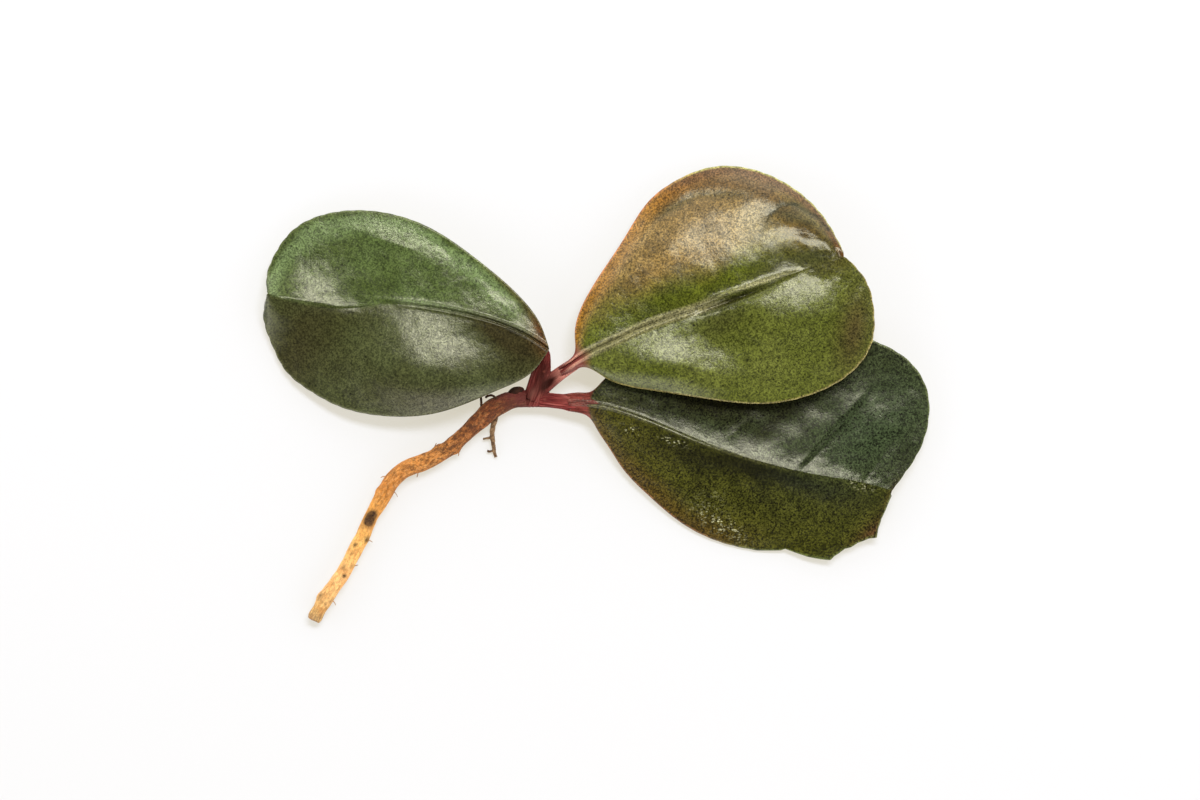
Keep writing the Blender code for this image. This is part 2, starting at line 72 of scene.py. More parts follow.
# Points along each blade, base to tip, as x, y, z in mm. far is the edge on the +Y side.
# swells: x, y, turn in degrees, reach along, reach across, height.
# folds: x, y of one end, x, y of the other, reach to each side, height of the crest (less than 0: a crease).
# bulge: height as a share of the width, mm from the rib until it has risen, how late it comes down.
# hollow, on the far side only: mm from the edge, reach, depth.
# ridges: height, half the distance between the rib's two ridges, share of the rib where they end.
# near_torn: share of the edge, mm outwards, mm upwards.
# tints: x, y, turn in degrees, reach along, reach across, strength.
LEFT_LEAF = {
    "rib": [(-11.8, 11.2, 8.8), (-14.6, 13.2, 9), (-26.4, 18.5, 8.2), (-42, 21.9, 7), (-49.6, 22.6, 6.3),
            (-60, 21.6, 4.7), (-72.5, 22.5, 4.2), (-81.5, 25.2, 4.4)],
    "far": [(-11.7, 11.5, 8.75), (-12.4, 13.7, 8.6), (-13.6, 17, 8.4), (-18.5, 23.9, 7.85),
            (-29.3, 33.4, 6.6), (-42.3, 42, 5.1), (-54.1, 45.6, 3.8), (-65, 45.6, 2.8), (-75.5, 41.3, 2.2),
            (-80.3, 34.9, 2.4), (-82.2, 28.5, 3.5), (-81.9, 25.8, 4.2)],
    "near": [(-11.9, 10.9, 8.7), (-16, 5.6, 7.8), (-23.9, 1.4, 7.2), (-40.1, -4.6, 6.3), (-52, -5.3, 5.4),
             (-64.4, -2.7, 4.2), (-71.5, 1.1, 3.2), (-77.5, 6, 2.2), (-80.8, 12.2, 2), (-83, 20.5, 3.1),
             (-82, 24.6, 4.1)],
    "bulge": {"far": (0.03, 4.5, 3), "near": (0.06, 6.5, 3)},
    "swells": [(-76.5, 22.3, -4, 11.5, 8, 2.55), (-63, 20.8, 0, 9, 2.6, 0.4), (-29.5, 19, -20, 8, 4, 0.5),
               (-42, 2.5, -17, 19, 12, 4.1)],
    "hollow": (1.6, 3, 0.22),
    "folds": [(-82, 25.2, -63, 21.8, 1.8, 0.3), (-66, 21.9, -50, 22.2, 1.5, 0.2),
              (-52.5, 23.7, -37, 21.7, 0.6, 0.5), (-66, 41.5, -52, 40.5, 2, 0.35),
              (-58, 40, -44, 35.5, 1.6, 0.3)],
    "ridges": (0.34, 0.6, 0.55),
    "lumps": 0.1,
    "tints": {
        "brown": [(-75, 12, 60, 16, 9, 0.75), (-19, 8.5, -30, 9, 5.5, 0.6), (-36, -3, -12, 18, 4, 0.7),
                  (-16.5, 17, -62, 8, 4, 0.4), (-24, 15.5, -28, 10, 3, 1)],
        "red": [(-13.3, 15, -68, 7, 2.6, 1.1), (-20, 26.5, -42, 9, 1.5, 0.75)],
        "dull": [(-25, 16, -25, 10, 3, 1), (-45, 31, -20, 20, 6, 0.5), (-60, 8, 0, 14, 9, 0.4),
                 (-30, 31, -42, 20, 3.5, 0.6), (-14.5, 15.5, -60, 7, 4, 1), (-21, 24, -45, 12, 5, 0.4),
                 (-77, 32, 20, 8, 5, 0.6), (-79, 15, 75, 12, 6, 0.9), (-63, 16, 0, 12, 5, 0.7),
                 (-64, 19.5, 0, 8, 2.6, 0.4), (-31, 33.5, -40, 24, 5, 0.8), (-18.5, 10, -30, 8, 5.5, 1),
                 (-81, 14, 75, 12, 4, 0.8)],
    },
}
UPPER_LEAF = {
    "rib": [(-9, 6, 6.3), (-4, 9.3, 7.5), (5.4, 13.9, 8.8), (15.1, 18.1, 9.8), (25.2, 21.3, 10.6),
            (39, 26.9, 11.2), (48.3, 29.7, 11.2), (61, 34.1, 10.2)],
    "far": [(-9.4, 7, 6.2), (-7.3, 8.4, 6.6), (-5.6, 10.1, 6.9), (-5.25, 12.2, 6.9), (-5.4, 14.6, 6.6),
            (-1.8, 25.6, 5.3), (7, 39.2, 3.8), (13.3, 48.6, 2.8), (20.2, 53.7, 2.2), (29.5, 57, 1.8),
            (39.5, 56.1, 2.4), (49.9, 50.8, 4.3), (57.1, 42.9, 7.6), (60.9, 35.4, 10.1)],
    "near": [(-8.6, 4.7, 6.1), (-5.9, 5.8, 6.7), (-3.5, 6.85, 7.3), (-1.9, 6.6, 7.6), (1.9, 4.4, 7.9),
             (14.6, 1, 8.9), (31.7, -1.6, 9.6), (43, -2.1, 9.8), (54.2, 0.5, 9.8), (63, 5.6, 9.6),
             (67.9, 12.5, 9.5), (68.6, 20.3, 9.4), (66.4, 28.5, 9.7), (61.9, 33.6, 10.3)],
    "bulge": {"far": (0.08, 5.5, 5), "near": (0.035, 3.5, 3)},
    "swells": [(15.5, 5.5, -12, 16, 7.8, 3.2), (47.5, 19, 14, 13, 7.5, 1.85), (24, 38.5, 24, 24, 10, 0.3),
               (39.5, 52.5, 0, 11, 5, 1.9), (45, 40, 22, 10, 6, 0.4), (8, 33, 62, 12, 5, 0.7),
               (18, 36, 60, 6, 3, 0.45), (36, 46, 20, 7, 3, 0.35), (33, 13, 15, 7, 6, -1),
               (30, 50, 5, 12, 3, -0.5), (51.5, 41, -15, 9, 5.5, 0.3), (55.5, 37.5, -10, 8, 6, 0.95)],
    "hollow": (2, 2.2, 0.3),
    "folds": [(26, 22.8, 49.2, 30.2, 0.8, 1.1), (24.5, 20.2, 43.5, 27.2, 0.8, -1.4),
              (40.5, 40, 42.5, 45, 1, -0.16), (41.5, 43.9, 46, 47, 1, -0.18), (45, 46.8, 50, 47, 1, -0.18),
              (48.9, 47.2, 55, 43.5, 1, -0.2), (54, 44.2, 58.5, 39.5, 1, -0.12),
              (47, 40.5, 56, 38.5, 1.4, -0.08), (45, 44, 50, 41, 1.2, 0.1), (31.5, 18.5, 43, 12, 1.6, 0.35),
              (13, 43, 25.5, 49.8, 2, -0.5), (22.5, 48.9, 35, 50.2, 2, -0.42),
              (10, 37.5, 16, 45.5, 1.6, -0.35)],
    "ridges": (0.46, 0.78, 0.6),
    "lumps": 0.12,
    "tints": {
        "bronze": [(20, 38, 30, 30, 20, 1.15)],
        # Dusk spots darken to a reddish brown: the leaf's own tone along the top edge, and painted shade over
        # the arcs beside the tip.
        "dusk": [(15.5, 49, 45, 9, 4, 0.75), (30, 52.5, 0, 16, 5, 0.9), (48, 44, -40, 12, 5, 0.8),
                 (56, 36, 10, 8, 5, 0.5)],
        # Crease spots are painted shade: near-black lines along the creases and arcs, and under the fold by
        # the rib.
        "crease": [(33.5, 23.3, 20, 8, 0.75, 0.9), (41.8, 42, 65, 3.4, 0.6, 0.6),
                   (44.2, 45.8, 40, 2.8, 0.6, 0.7), (47.8, 47.2, 0, 3.2, 0.6, 0.8),
                   (52, 45.5, -30, 3.8, 0.6, 0.8), (56.5, 41.8, -48, 3.6, 0.6, 0.7),
                   (50, 43.5, -18, 6, 0.5, 0.5), (47, 25.5, 22, 6, 0.5, 0.4)],
        # The crest spot is a painted highlight: a pale streak along the crest of the fold by the rib.
        "crest": [(40, 27.7, 18, 8, 0.6, 0.65)],
        "shade": [(19.5, 47, 28, 6, 1.2, 0.5), (30.5, 49.8, 0, 7, 1.2, 0.45), (54, 33.5, 10, 9, 5, 0.9),
                  (44, 31.5, 22, 7, 2, 0.5), (49, 44, -10, 6, 2.5, 0.5), (31, 18.5, 20, 7, 4, 0.65),
                  (30, 24.5, 21, 24, 2.6, 0.35)],
        "brown": [(63.5, 16, 80, 10, 4, 0.9)],
        "dull": [(15, 48.5, 45, 9, 4, 1), (50, 40, -25, 10, 4, 0.9), (53, 39, -25, 11, 6, 0.45),
                 (48, 32, 20, 12, 4.5, 0.8), (57, 29, 40, 7, 5, 0.8), (25, 55, 5, 22, 2.5, 0.5),
                 (63, 22, 80, 10, 6, 0.7), (28, 26, 22, 21, 5.5, 1), (34, 17, 20, 9, 5, 1)],
    },
}
LOWER_LEAF = {
    "rib": [(-7, -1.9, 5.2), (-2.3, -2.1, 5.9), (6.3, -3.9, 6.7), (24.8, -11.2, 7.4), (43.3, -17.2, 7),
            (55, -19.8, 6.2), (67.4, -22, 5), (73.5, -23.8, 4.2)],
    "far": [(-7.5, 0.2, 5), (-4.5, 0.65, 5.3), (-1.9, 0.7, 5.6), (1.6, 3.6, 5.8), (10.8, 9.2, 6.8),
            (23.2, 13.4, 7.5), (40, 16.3, 7.2), (58, 16.6, 6), (69.1, 13.4, 4.9), (77.5, 8.7, 3.8),
            (82, 2.2, 3.3), (82.8, -5.5, 3.1), (80.2, -14.2, 3.3), (75.7, -20.9, 3.8), (74.1, -23, 4.1)],
    "near": [(-6.5, -4.1, 4.6), (-4.2, -4.5, 4.6), (-2.5, -5.1, 4.5), (0.2, -8.7, 3.8), (2.7, -12.5, 3.2),
             (6.4, -18.2, 2.5), (13.2, -25.3, 1.9), (20.7, -31.6, 1.4), (30.5, -36.6, 1.05),
             (42.3, -39.1, 1.05), (52, -39.9, 1.3), (60, -39.3, 1.6), (66.5, -36, 2.2), (70.5, -31.5, 3),
             (72.4, -26.8, 3.8), (73.2, -24.6, 4.1)],
    "bulge": {"far": (-0.036, 3.5, 3), "near": (0.02, 3, 3)},
    "swells": [(71.4, -8.7, 38, 14, 6.5, 0.9), (50, -10, 42, 9, 3.5, 0.5), (46, -18, -17, 14, 5, 0.35)],
    "folds": [(49.1, -18.6, 67, 1, 7, 1.5), (31.5, -11.6, 39.5, -4.5, 3, 0.35),
              (50.8, -18.9, 65, -3.2, 1.5, -0.45), (66.5, -21.5, 75.5, -9, 2, -0.35)],
    "ridges": (0.16, 0.45, 0.55),
    "near_torn": [(0.6, 0, 0), (0.655, -0.7, 0.3), (0.665, -1.2, 0.5), (0.72, 0.4, 0.9), (0.775, 1.5, 1.1),
                  (0.785, 0.7, 1), (0.805, 0, 0.9), (0.815, -0.3, 0.8), (0.83, 0, 0.7), (0.85, -0.1, 0.6),
                  (0.878, 0.7, 0.5), (0.892, 1.9, 0.5), (0.91, 0.7, 0.3), (0.935, 0.1, 0), (1, 0.4, 0)],
    "lumps": 0.12,
    "tints": {
        "teal": [(68, -8, 35, 18, 11, 0.9)],
        # Dusk spots are painted shade, near black: the upper leaf's shadow along its edge, and the dark below
        # the rib and in the creases.
        "dusk": [(22, -15.5, -20, 13, 3, 0.45), (45, -20, -17, 26, 3, 1), (42, -25, -65, 9, 1.8, 0.35),
                 (26, -24, -72, 9, 1.5, 0.35), (30, -1.5, -3, 22, 5, 0.95), (56, 2, 20, 12, 4, 0.4),
                 (58.5, -10, 47, 9, 1.6, 0.7), (43, -8, 42, 8, 1.5, 0.5), (76, -14, 60, 6, 2.5, 0.6)],
        "brown": [(69.5, -34.5, 40, 6, 2.6, 0.9), (74, -26, 70, 4, 1.6, 0.7)],
        "dull": [(30, -0.5, -5, 24, 6, 1), (32, -7.5, -15, 9, 2.5, 0.6), (71, -7, 50, 11, 5, 0.6),
                 (35, -28, -12, 25, 8, 0.5), (55, 6, 0, 12, 5, 0.8), (58, -11, 47, 9, 1.8, 0.8),
                 (68.5, -20.5, -15, 7, 2.6, 0.9)],
        "olive": [(8, -12, -50, 14, 6, 0.6), (30, -32, -15, 18, 5, 0.4)],
        "scuff": [(8.2, -8.8, -20, 2, 0.9, 1.2), (19, -11.5, -15, 2.8, 0.8, 1),
                  (31, -32.5, -30, 5.5, 1.7, 1.2), (65.4, -22.4, -20, 2.6, 0.8, 1.1),
                  (28.5, -27, 0, 4, 3, 0.2)],
    },
}

# Lines as x, y, z and radius in mm. The main axis runs from the stem's cut end to the lower leaf.
MAIN_AXIS = [(-70.6, -56.1, 1.6, 1.7), (-67.3, -50.4, 1.72, 1.85), (-63.7, -45.1, 1.66, 1.78),
             (-60.5, -39.4, 1.62, 1.74), (-58.1, -34.7, 1.66, 1.78), (-56.4, -30.6, 1.6, 1.7),
             (-54.2, -26.9, 1.7, 1.82), (-52.5, -23.9, 1.86, 1.98), (-50.5, -20.8, 1.94, 2.05),
             (-47.8, -18.6, 1.96, 2.06), (-43.8, -17, 2, 2.1), (-39.7, -15.1, 1.96, 2.04),
             (-35.6, -12.3, 1.9, 1.96), (-31.8, -8.9, 2, 1.96), (-28.9, -6.1, 2.3, 2.2),
             (-26, -3.6, 2.6, 2.45), (-22.8, -1.9, 2.6, 2.25), (-19.7, -1.1, 2.7, 2.05),
             (-16.3, -0.9, 3, 2.15), (-12.6, -1.2, 3.3, 1.85), (-9.1, -1.6, 3.8, 1.9), (-5.3, -1.9, 4.2, 2.2),
             (-2.6, -1.95, 4.4, 2.6)]
STEM_LENGTH = 79
STEM_INSIDE = 1.2  # mm that the stem runs on inside the crown
CROWN_INSIDE = 0.6  # mm that the crown reaches back over the stem
CUT_END = (0.9, 0.97)  # share of the radius at the first two rings
TOP_END = 0.9  # share of the radius at the last six
LOWER_STALK = [(-6.5, -1.8, 3.6, 2.3), (-3, -2, 3.5, 2.2), (0.5, -2.6, 3.8, 1.8), (3.5, -3.3, 4.4, 1.2)]
LEFT_STALK = [(-15.6, -0.9, 2.9, 2.7), (-14.9, 1.2, 3.6, 2.65), (-14.3, 3.4, 4.3, 2.55),
              (-13.7, 5.8, 5, 2.35), (-13.2, 8, 5.7, 1.95), (-12.9, 9.9, 6.4, 1.5), (-13.4, 11.8, 7, 1)]
UPPER_STALK = [(-15.4, -0.1, 3, 2), (-12, 3, 4, 1.8), (-8.8, 5.5, 4.9, 1.68), (-5.4, 7.8, 5.3, 1.6),
               (-2.6, 9.6, 5.9, 1.4), (1, 11.6, 6.5, 1)]
SIDE_ROOT = [(-25.4, -4.6, 2, 0.95), (-25.4, -6, 1.7, 0.8), (-25.8, -7.7, 1.3, 0.65), (-26, -10.6, 0.95, 0.6),
             (-25.7, -12.7, 0.8, 0.5), (-25.5, -14.2, 0.7, 0.42), (-25.1, -15.5, 0.6, 0.38)]
ROOT_HAIRS = [[(-26, -10.4, 0.9, 0.3), (-27.2, -10.8, 0.8, 0.3), (-28.4, -10.9, 0.8, 0.3)],
              [(-25.6, -13.9, 0.7, 0.3), (-26.5, -14.1, 0.6, 0.3), (-27.3, -14, 0.6, 0.3)]]
STEM_THREADS = [[(-24.6, -1.2, 4, 0.3), (-25.6, -0.3, 3.9, 0.3), (-26.6, -0.1, 3.3, 0.3),
                 (-27.6, -0.6, 2.7, 0.3)],
                [(-28.3, -4.3, 3.2, 0.34), (-28.6, -3, 3.4, 0.32), (-28.7, -1.6, 3, 0.3),
                 (-28.8, -0.6, 2.4, 0.3)]]
STEM_HAIRS = [[(-57.8, -36, 1.8, 0.24), (-56.8, -36.2, 1.8, 0.2), (-55.9, -36.7, 1.6, 0.14)],
              [(-61.4, -42.4, 1.8, 0.24), (-60.3, -42.6, 1.8, 0.2), (-59.5, -42.4, 1.6, 0.14)],
              [(-44.6, -18.3, 2.2, 0.24), (-44.5, -19.4, 2.1, 0.2), (-44.8, -20.5, 1.7, 0.14)],
              [(-35, -13.4, 2.2, 0.24), (-34.4, -14.3, 2.1, 0.2), (-34.4, -15.2, 1.8, 0.14)],
              [(-40.1, -14, 2.2, 0.24), (-40.3, -12.9, 2.2, 0.2), (-39.9, -12, 1.9, 0.14)],
              [(-66.6, -51.3, 1.8, 0.22), (-65.5, -51.6, 1.6, 0.18), (-65.1, -52.5, 1.4, 0.12)],
              [(-52, -20.6, 2.2, 0.24), (-53, -20.3, 2.2, 0.2), (-53.8, -20.6, 1.9, 0.14)],
              [(-51.2, -23.6, 2, 0.2), (-50.2, -24.4, 1.8, 0.16), (-49.6, -25.4, 1.5, 0.1)]]
HAIR_SHARE = 0.6  # of the radius in the table

# Round marks as x, y, z, reach and height or strength
STEM_MARKS = [(-56.1, -30.6, 3.4, 1.1, -0.75), (-53.6, -25.6, 2.4, 2.4, 0.25), (-71, -54.5, 2, 1.2, 0.25),
              (-55, -23.4, 2, 1.1, 0.35), (-57.2, -36.3, 2.2, 0.7, 0.25), (-60.5, -42, 2.4, 0.6, 0.2),
              (-26.5, -4.6, 3.2, 1.6, 0.35), (-31, -7.2, 3.4, 1.3, 0.25), (-24, -3.6, 3.6, 1.1, 0.25),
              (-39, -13.2, 3, 1.2, 0.2), (-47, -17, 3.2, 1.4, 0.2), (-34.7, -14, 2, 0.9, 0.5),
              (-39.6, -12.9, 2.2, 0.9, 0.4), (-30.4, -6.3, 3, 1, 0.35), (-69.2, -50, 1.8, 0.9, 0.35),
              (-27.6, -7, 2.6, 1.2, 0.35), (-22.5, 0.2, 3.4, 1, 0.25)]
SCARS = [(-56.6, -31.3, 3.3, 0.9, 5), (-56, -30.1, 3.3, 0.9, 5), (-61, -42.8, 3, 0.55, 1),
         (-62.8, -45.1, 3.2, 0.55, 1.5), (-57.2, -36, 2.6, 0.7, 1.6), (-60, -37.2, 3.2, 0.5, 1.4),
         (-62.9, -42.8, 3.3, 0.5, 1.1), (-68.7, -50, 2.8, 0.7, 0.9), (-66.4, -51.3, 2.6, 0.45, 1.2),
         (-54.9, -29, 2.9, 0.45, 0.8), (-60.9, -39.4, 3.2, 0.4, 0.9)]
SCAR_RING = [(-56.6, -31.6, 3.2, 1.9, 1.4)]

# Tints of the stem and the stalks, given as for the leaves
STEM_TINTS = {"maroon": [(-21.5, 0.6, 15, 5, 1.3, 1.1), (-17.5, -1, 0, 4.5, 3, 1.1)]}
STALK_TINTS = {
    # Pink spots: the upper stalk's own rosy tone, and a painted highlight at the joint of the stalks.
    "pink": [(-5.2, 8, 38, 6, 1.8, 1.7), (-15.9, 0.3, 60, 1.8, 0.8, 0.5), (-3.5, -0.6, 0, 4, 1.4, 0.35)],
    # Dark spots: the stalks' own dark maroon, deepened into painted shade in the slit between them and on the
    # left stalk below its leaf.
    "dark": [(-18, -0.8, 0, 2.6, 3.2, 0.7), (-13.6, 5.2, 75, 5.5, 2.4, 0.95), (-11.6, 3, 45, 3, 1, 0.9)],
}

BUD_CENTRE = (-20.1, 0.75, 2.9)
BUD_SIZE = (2.2, 1.4, 1.4)
BUD_TAPER = 0.3
BUD_FURROW = 0.05  # depth of its three furrows, as a share
BUD_TWIST = 2
BUD_LEAN = (math.radians(-50), 0.0, math.radians(20))

# Tubes: how finely they are cut, and their skins
AXIS_STRIPS = 400
STEM_STRIPS, STEM_CORNERS = 320, 44
STALK_CORNERS = 48
ROOT_STRIPS, ROOT_CORNERS = 90, 24
HAIR_STRIPS, HAIR_CORNERS = 24, 12
CROWN_VOXEL, CROWN_ROUNDS = 0.12, 5  # mm, rounds of smoothing
ROOT_VOXEL, ROOT_ROUNDS = 0.07, 4
FLATNESS = 0.8  # height of a stalk, as a share of its width
LOWER_CHANNEL, UPPER_CHANNEL = 0.22, 0.26  # depth of a stalk's groove, as a share of its radius
CHANNEL_WIDTH = 0.34  # also as a share
BARK_ANGLE = 60  # degrees, above which an edge of the stem stays sharp
LINE_GAP = 40  # mm between the straightened lines of one piece
CHUNK = 4000  # vertices looked at together
SOFTENING = 0.5  # of each round of smoothing where pieces have grown together

# The picture, in metres and watts
TABLE_SIZE = 6
TABLE_LEVEL = -0.00002
TABLE_COLOUR = (0.19, 0.215, 0.35, 1)
TABLE_GLOW = (1.0, 0.93, 0.74, 1)
TABLE_GLOW_STRENGTH = 0.6
KEY_PLACE = (0.25, 0.8, 1.35)
KEY_SIZE = (1.2, 0.4)
KEY_POWER = 37
KEY_COLOUR = (1.0, 0.97, 0.76)
SKY_STOPS = [(0.0, (1.0, 0.97, 0.77)), (0.7, (0.012, 0.011, 0.009))]  # from the horizon upwards
SKY_STRENGTH = 5.6
EYE_PLACE = (0.000875, -0.00125, 0.75)
EYE_LENS = 90  # mm
EYE_CLIP = (0.05, 20)


# Lines

def natural_spline(places, values, wanted):
    """Values at the wanted places on a natural cubic spline through the given ones."""
    count = len(places)
    gaps = np.diff(places)
    climbs = np.diff(values, axis=0) / gaps[:, None]
    system = np.eye(count)
    sides = np.zeros_like(values)
    for i in range(1, count - 1):
        system[i, i - 1:i + 2] = gaps[i - 1], 2 * (gaps[i - 1] + gaps[i]), gaps[i]
        sides[i] = 6 * (climbs[i] - climbs[i - 1])
    bends = np.linalg.solve(system, sides)
    piece = np.clip(np.searchsorted(places, wanted) - 1, 0, count - 2)
    gap = gaps[piece][:, None]
    after = (wanted - places[piece])[:, None] / gap
    before = 1 - after
    return (before * values[piece] + after * values[piece + 1]
            + ((before ** 3 - before) * bends[piece]
               + (after ** 3 - after) * bends[piece + 1]) * gap ** 2 / 6)


def walked(points):
    """Distance walked along a row of points, up to each point."""
    steps = np.linalg.norm(np.diff(points[:, :3], axis=0), axis=1)
    return np.concatenate(([0.0], np.cumsum(steps)))


def smooth_line(points, strips):
    """Evenly spaced points on one smooth line through the given points."""
    given = np.array(points, dtype=float)
    places = walked(given)
    fine = natural_spline(places, given, np.linspace(0, places[-1], FINE_STEPS * len(given)))
    return stretch(fine, 0, walked(fine)[-1], strips)


def stretch(line, start, end, strips):
    """Evenly spaced points on the stretch of a line between two distances from its start, in mm."""
    distance = walked(line)
    even = np.linspace(start, end, strips + 1)
    return np.column_stack([np.interp(even, distance, column) for column in line.T])


# The form of a blade

def outward_normals(edge, rib):
    """Flat unit vectors square to an edge, pointing away from the rib."""
    along = np.gradient(edge[:, :2], axis=0)
    normals = np.column_stack((along[:, 1], -along[:, 0]))
    normals /= np.linalg.norm(normals, axis=1)[:, None]
    away = np.sign(np.sum(normals * (edge - rib)[:, :2], axis=1))
    away[away == 0] = 1
    return normals * away[:, None]


def tooth_shift(edge, rib, torn):
    """How far each point of an edge stands out, with its round teeth and its torn stretch, in mm."""
    share = np.linspace(0, 1, len(edge))
    grown = np.clip((share - TOOTH_START) / (1 - TOOTH_START), 0, 1)
    stand = TOOTH_DEPTH * grown * (np.abs(np.sin(math.pi * TEETH * share)) - TOOTH_MEAN)
    lift = np.zeros_like(share)
    if torn:
        places, outward, upward = zip(*torn)
        stand = np.where(share > places[0], 0, stand) + np.interp(share, places, outward)
        lift = np.interp(share, places, upward)
    shift = np.zeros_like(edge)
    shift[1:-1, :2] = outward_normals(edge, rib)[1:-1] * stand[1:-1, None]
    shift[:, 2] = lift
    return shift


def spot(x, y, where):
    """1 at the middle of a soft spot at x, y, turn, reach along and reach across, falling to 0 around it."""
    middle_x, middle_y, turn, along, across = where
    turned = math.radians(turn)
    away_x = x - middle_x
    away_y = y - middle_y
    ahead = (away_x * math.cos(turned) + away_y * math.sin(turned)) / along
    aside = (away_y * math.cos(turned) - away_x * math.sin(turned)) / across
    return np.exp(-ahead ** 2 - aside ** 2)


def crest(x, y, fold):
    """1 on the line of a fold, falling away to each side and at its ends."""
    x1, y1, x2, y2, reach = fold
    length = math.hypot(x2 - x1, y2 - y1)
    ahead = ((x - x1) * (x2 - x1) + (y - y1) * (y2 - y1)) / length ** 2
    aside = ((y - y1) * (x2 - x1) - (x - x1) * (y2 - y1)) / length
    away = np.sqrt(aside ** 2 + FOLD_SHARP ** 2) - FOLD_SHARP
    return np.exp(-away / reach) * np.exp(-(np.abs(ahead - 0.5) / 0.5) ** FOLD_ENDS)


def half_blade(rib, edge, shift, form, side, share):
    """One strip of points at a share of the way from the rib to an edge."""
    width = np.linalg.norm((edge - rib)[:, :2], axis=1)
    crown, groove, roll = form["bulge"][side]
    rise = 1 - np.exp(-share * width / groove)
    whole = 1 - np.exp(-width / groove)
    strip = rib + (edge - rib) * share + shift * share ** EDGE_ONLY
    x, y = strip[:, 0], strip[:, 1]
    lift = crown * width * (rise - whole * share ** roll)
    inside = 1 - share ** SWELL_END
    for *where, height in form["swells"]:
        lift += inside * height * spot(x, y, where)
    for *line, height in form["folds"]:
        lift += inside * height * crest(x, y, line)
    if side == "far" and "hollow" in form:
        middle, reach, depth = form["hollow"]
        lift -= inside * depth * np.exp(-(((1 - share) * width - middle) / reach) ** 2)
    place = np.linspace(0, 1, len(rib))
    height, apart, end = form["ridges"]
    from_rib = share * width
    left = np.clip((end - place) / end, 0, 1) ** 0.5
    lift += height * left * (np.exp(-((from_rib - apart) / (RIDGE_WIDTH * apart)) ** 2)
                             - TRENCH_DEPTH * np.exp(-(from_rib / (TRENCH_WIDTH * apart)) ** 2))
    strip[:, 2] += lift
    return strip, np.column_stack((place, from_rib if side == "far" else -from_rib, width - from_rib))


def blade_strips(leaf):
    """A blade's upper face: points in mm, and for each its share along, mm from the rib, mm to the edge."""
    rib = smooth_line(leaf["rib"], ALONG)
    edges = {side: smooth_line(leaf[side], ALONG) for side in ("near", "far")}
    shifts = {side: tooth_shift(edges[side], rib, leaf.get(side + "_torn")) for side in edges}
    points, places = [], []
    for column in range(ACROSS + 1):
        offset = 2 * column / ACROSS - 1
        side = "far" if offset > 0 else "near"
        reach = abs(offset)
        share = EVENNESS * reach + (1 - EVENNESS) * reach * reach * (3 - 2 * reach)
        strip, where = half_blade(rib, edges[side], shifts[side], leaf, side, share)
        points.append(strip)
        places.append(where)
    return np.array(points), np.array(places)


# Making pieces

def pick(*pieces):
    """Select these pieces alone, with the first of them active."""
    bpy.ops.object.select_all(action="DESELECT")
    for piece in pieces:
        piece.select_set(True)
    bpy.context.view_layer.objects.active = pieces[0]


def applied(piece, kind, **settings):
    """Put a modifier on a piece, and apply it."""
    pick(piece)
    modifier = piece.modifiers.new(kind.title(), kind)
    for name, value in settings.items():
        setattr(modifier, name, value)
    bpy.ops.object.modifier_apply(modifier=modifier.name)


def corners_of(piece, title="co"):
    """The places of a mesh's vertices as an array of x, y, z, or with the title normal their normals."""
    values = np.empty(len(piece.data.vertices) * 3)
    piece.data.vertices.foreach_get(title, values)
    return values.reshape(-1, 3)


def move_corners(piece, places):
    """Put a mesh's vertices at new places."""
    piece.data.vertices.foreach_set("co", np.asarray(places, dtype=float).ravel())
    piece.data.update()


def press_flat(piece):
    """Flatten what is below the table's surface."""
    places = corners_of(piece)
    places[:, 2] = np.maximum(places[:, 2], 0.0)
    move_corners(piece, places)


def note(piece, name, values):
    """Keep a number or a place for each vertex, which the finish reads by its name."""
    values = np.asarray(values, dtype=float)
    kind, title = ("FLOAT", "value") if values.ndim == 1 else ("FLOAT_VECTOR", "vector")
    piece.data.attributes.new(name, kind, "POINT").data.foreach_set(title, values.ravel())


def note_tints(piece, places, tints):
    """Keep each tint, a sum of soft spots, for the places in mm."""
    x, y = places[:, 0], places[:, 1]
    for title, spots in tints.items():
        note(piece, title, sum(strength * spot(x, y, where) for *where, strength in spots))


def lumpy(places, size, height):
    """Gentle lumps for each place, size in the places' units: at most about the height, up or down."""
    return np.array([height * noise.fractal(Vector(place) / size, 1.0, 2.0, 3) for place in places])


def fibres(places, along, across, height, octaves):
    """Long lumps on a straightened piece: changes for each mm along it and across it, height in mm."""
    return height * np.array([noise.fractal(Vector(place), 1.0, 2.0, octaves)
                              for place in places * (along, across, across)])


def rim_drop(to_edge):
    """How far a blade's face rounds down beside its edge, in mm."""
    near = np.clip(1 - to_edge / (RIM_REACH * RIM_ROUND), 0, 1)
    return RIM_ROUND * (1 - np.sqrt(1 - RIM_STEEP * near ** 2))


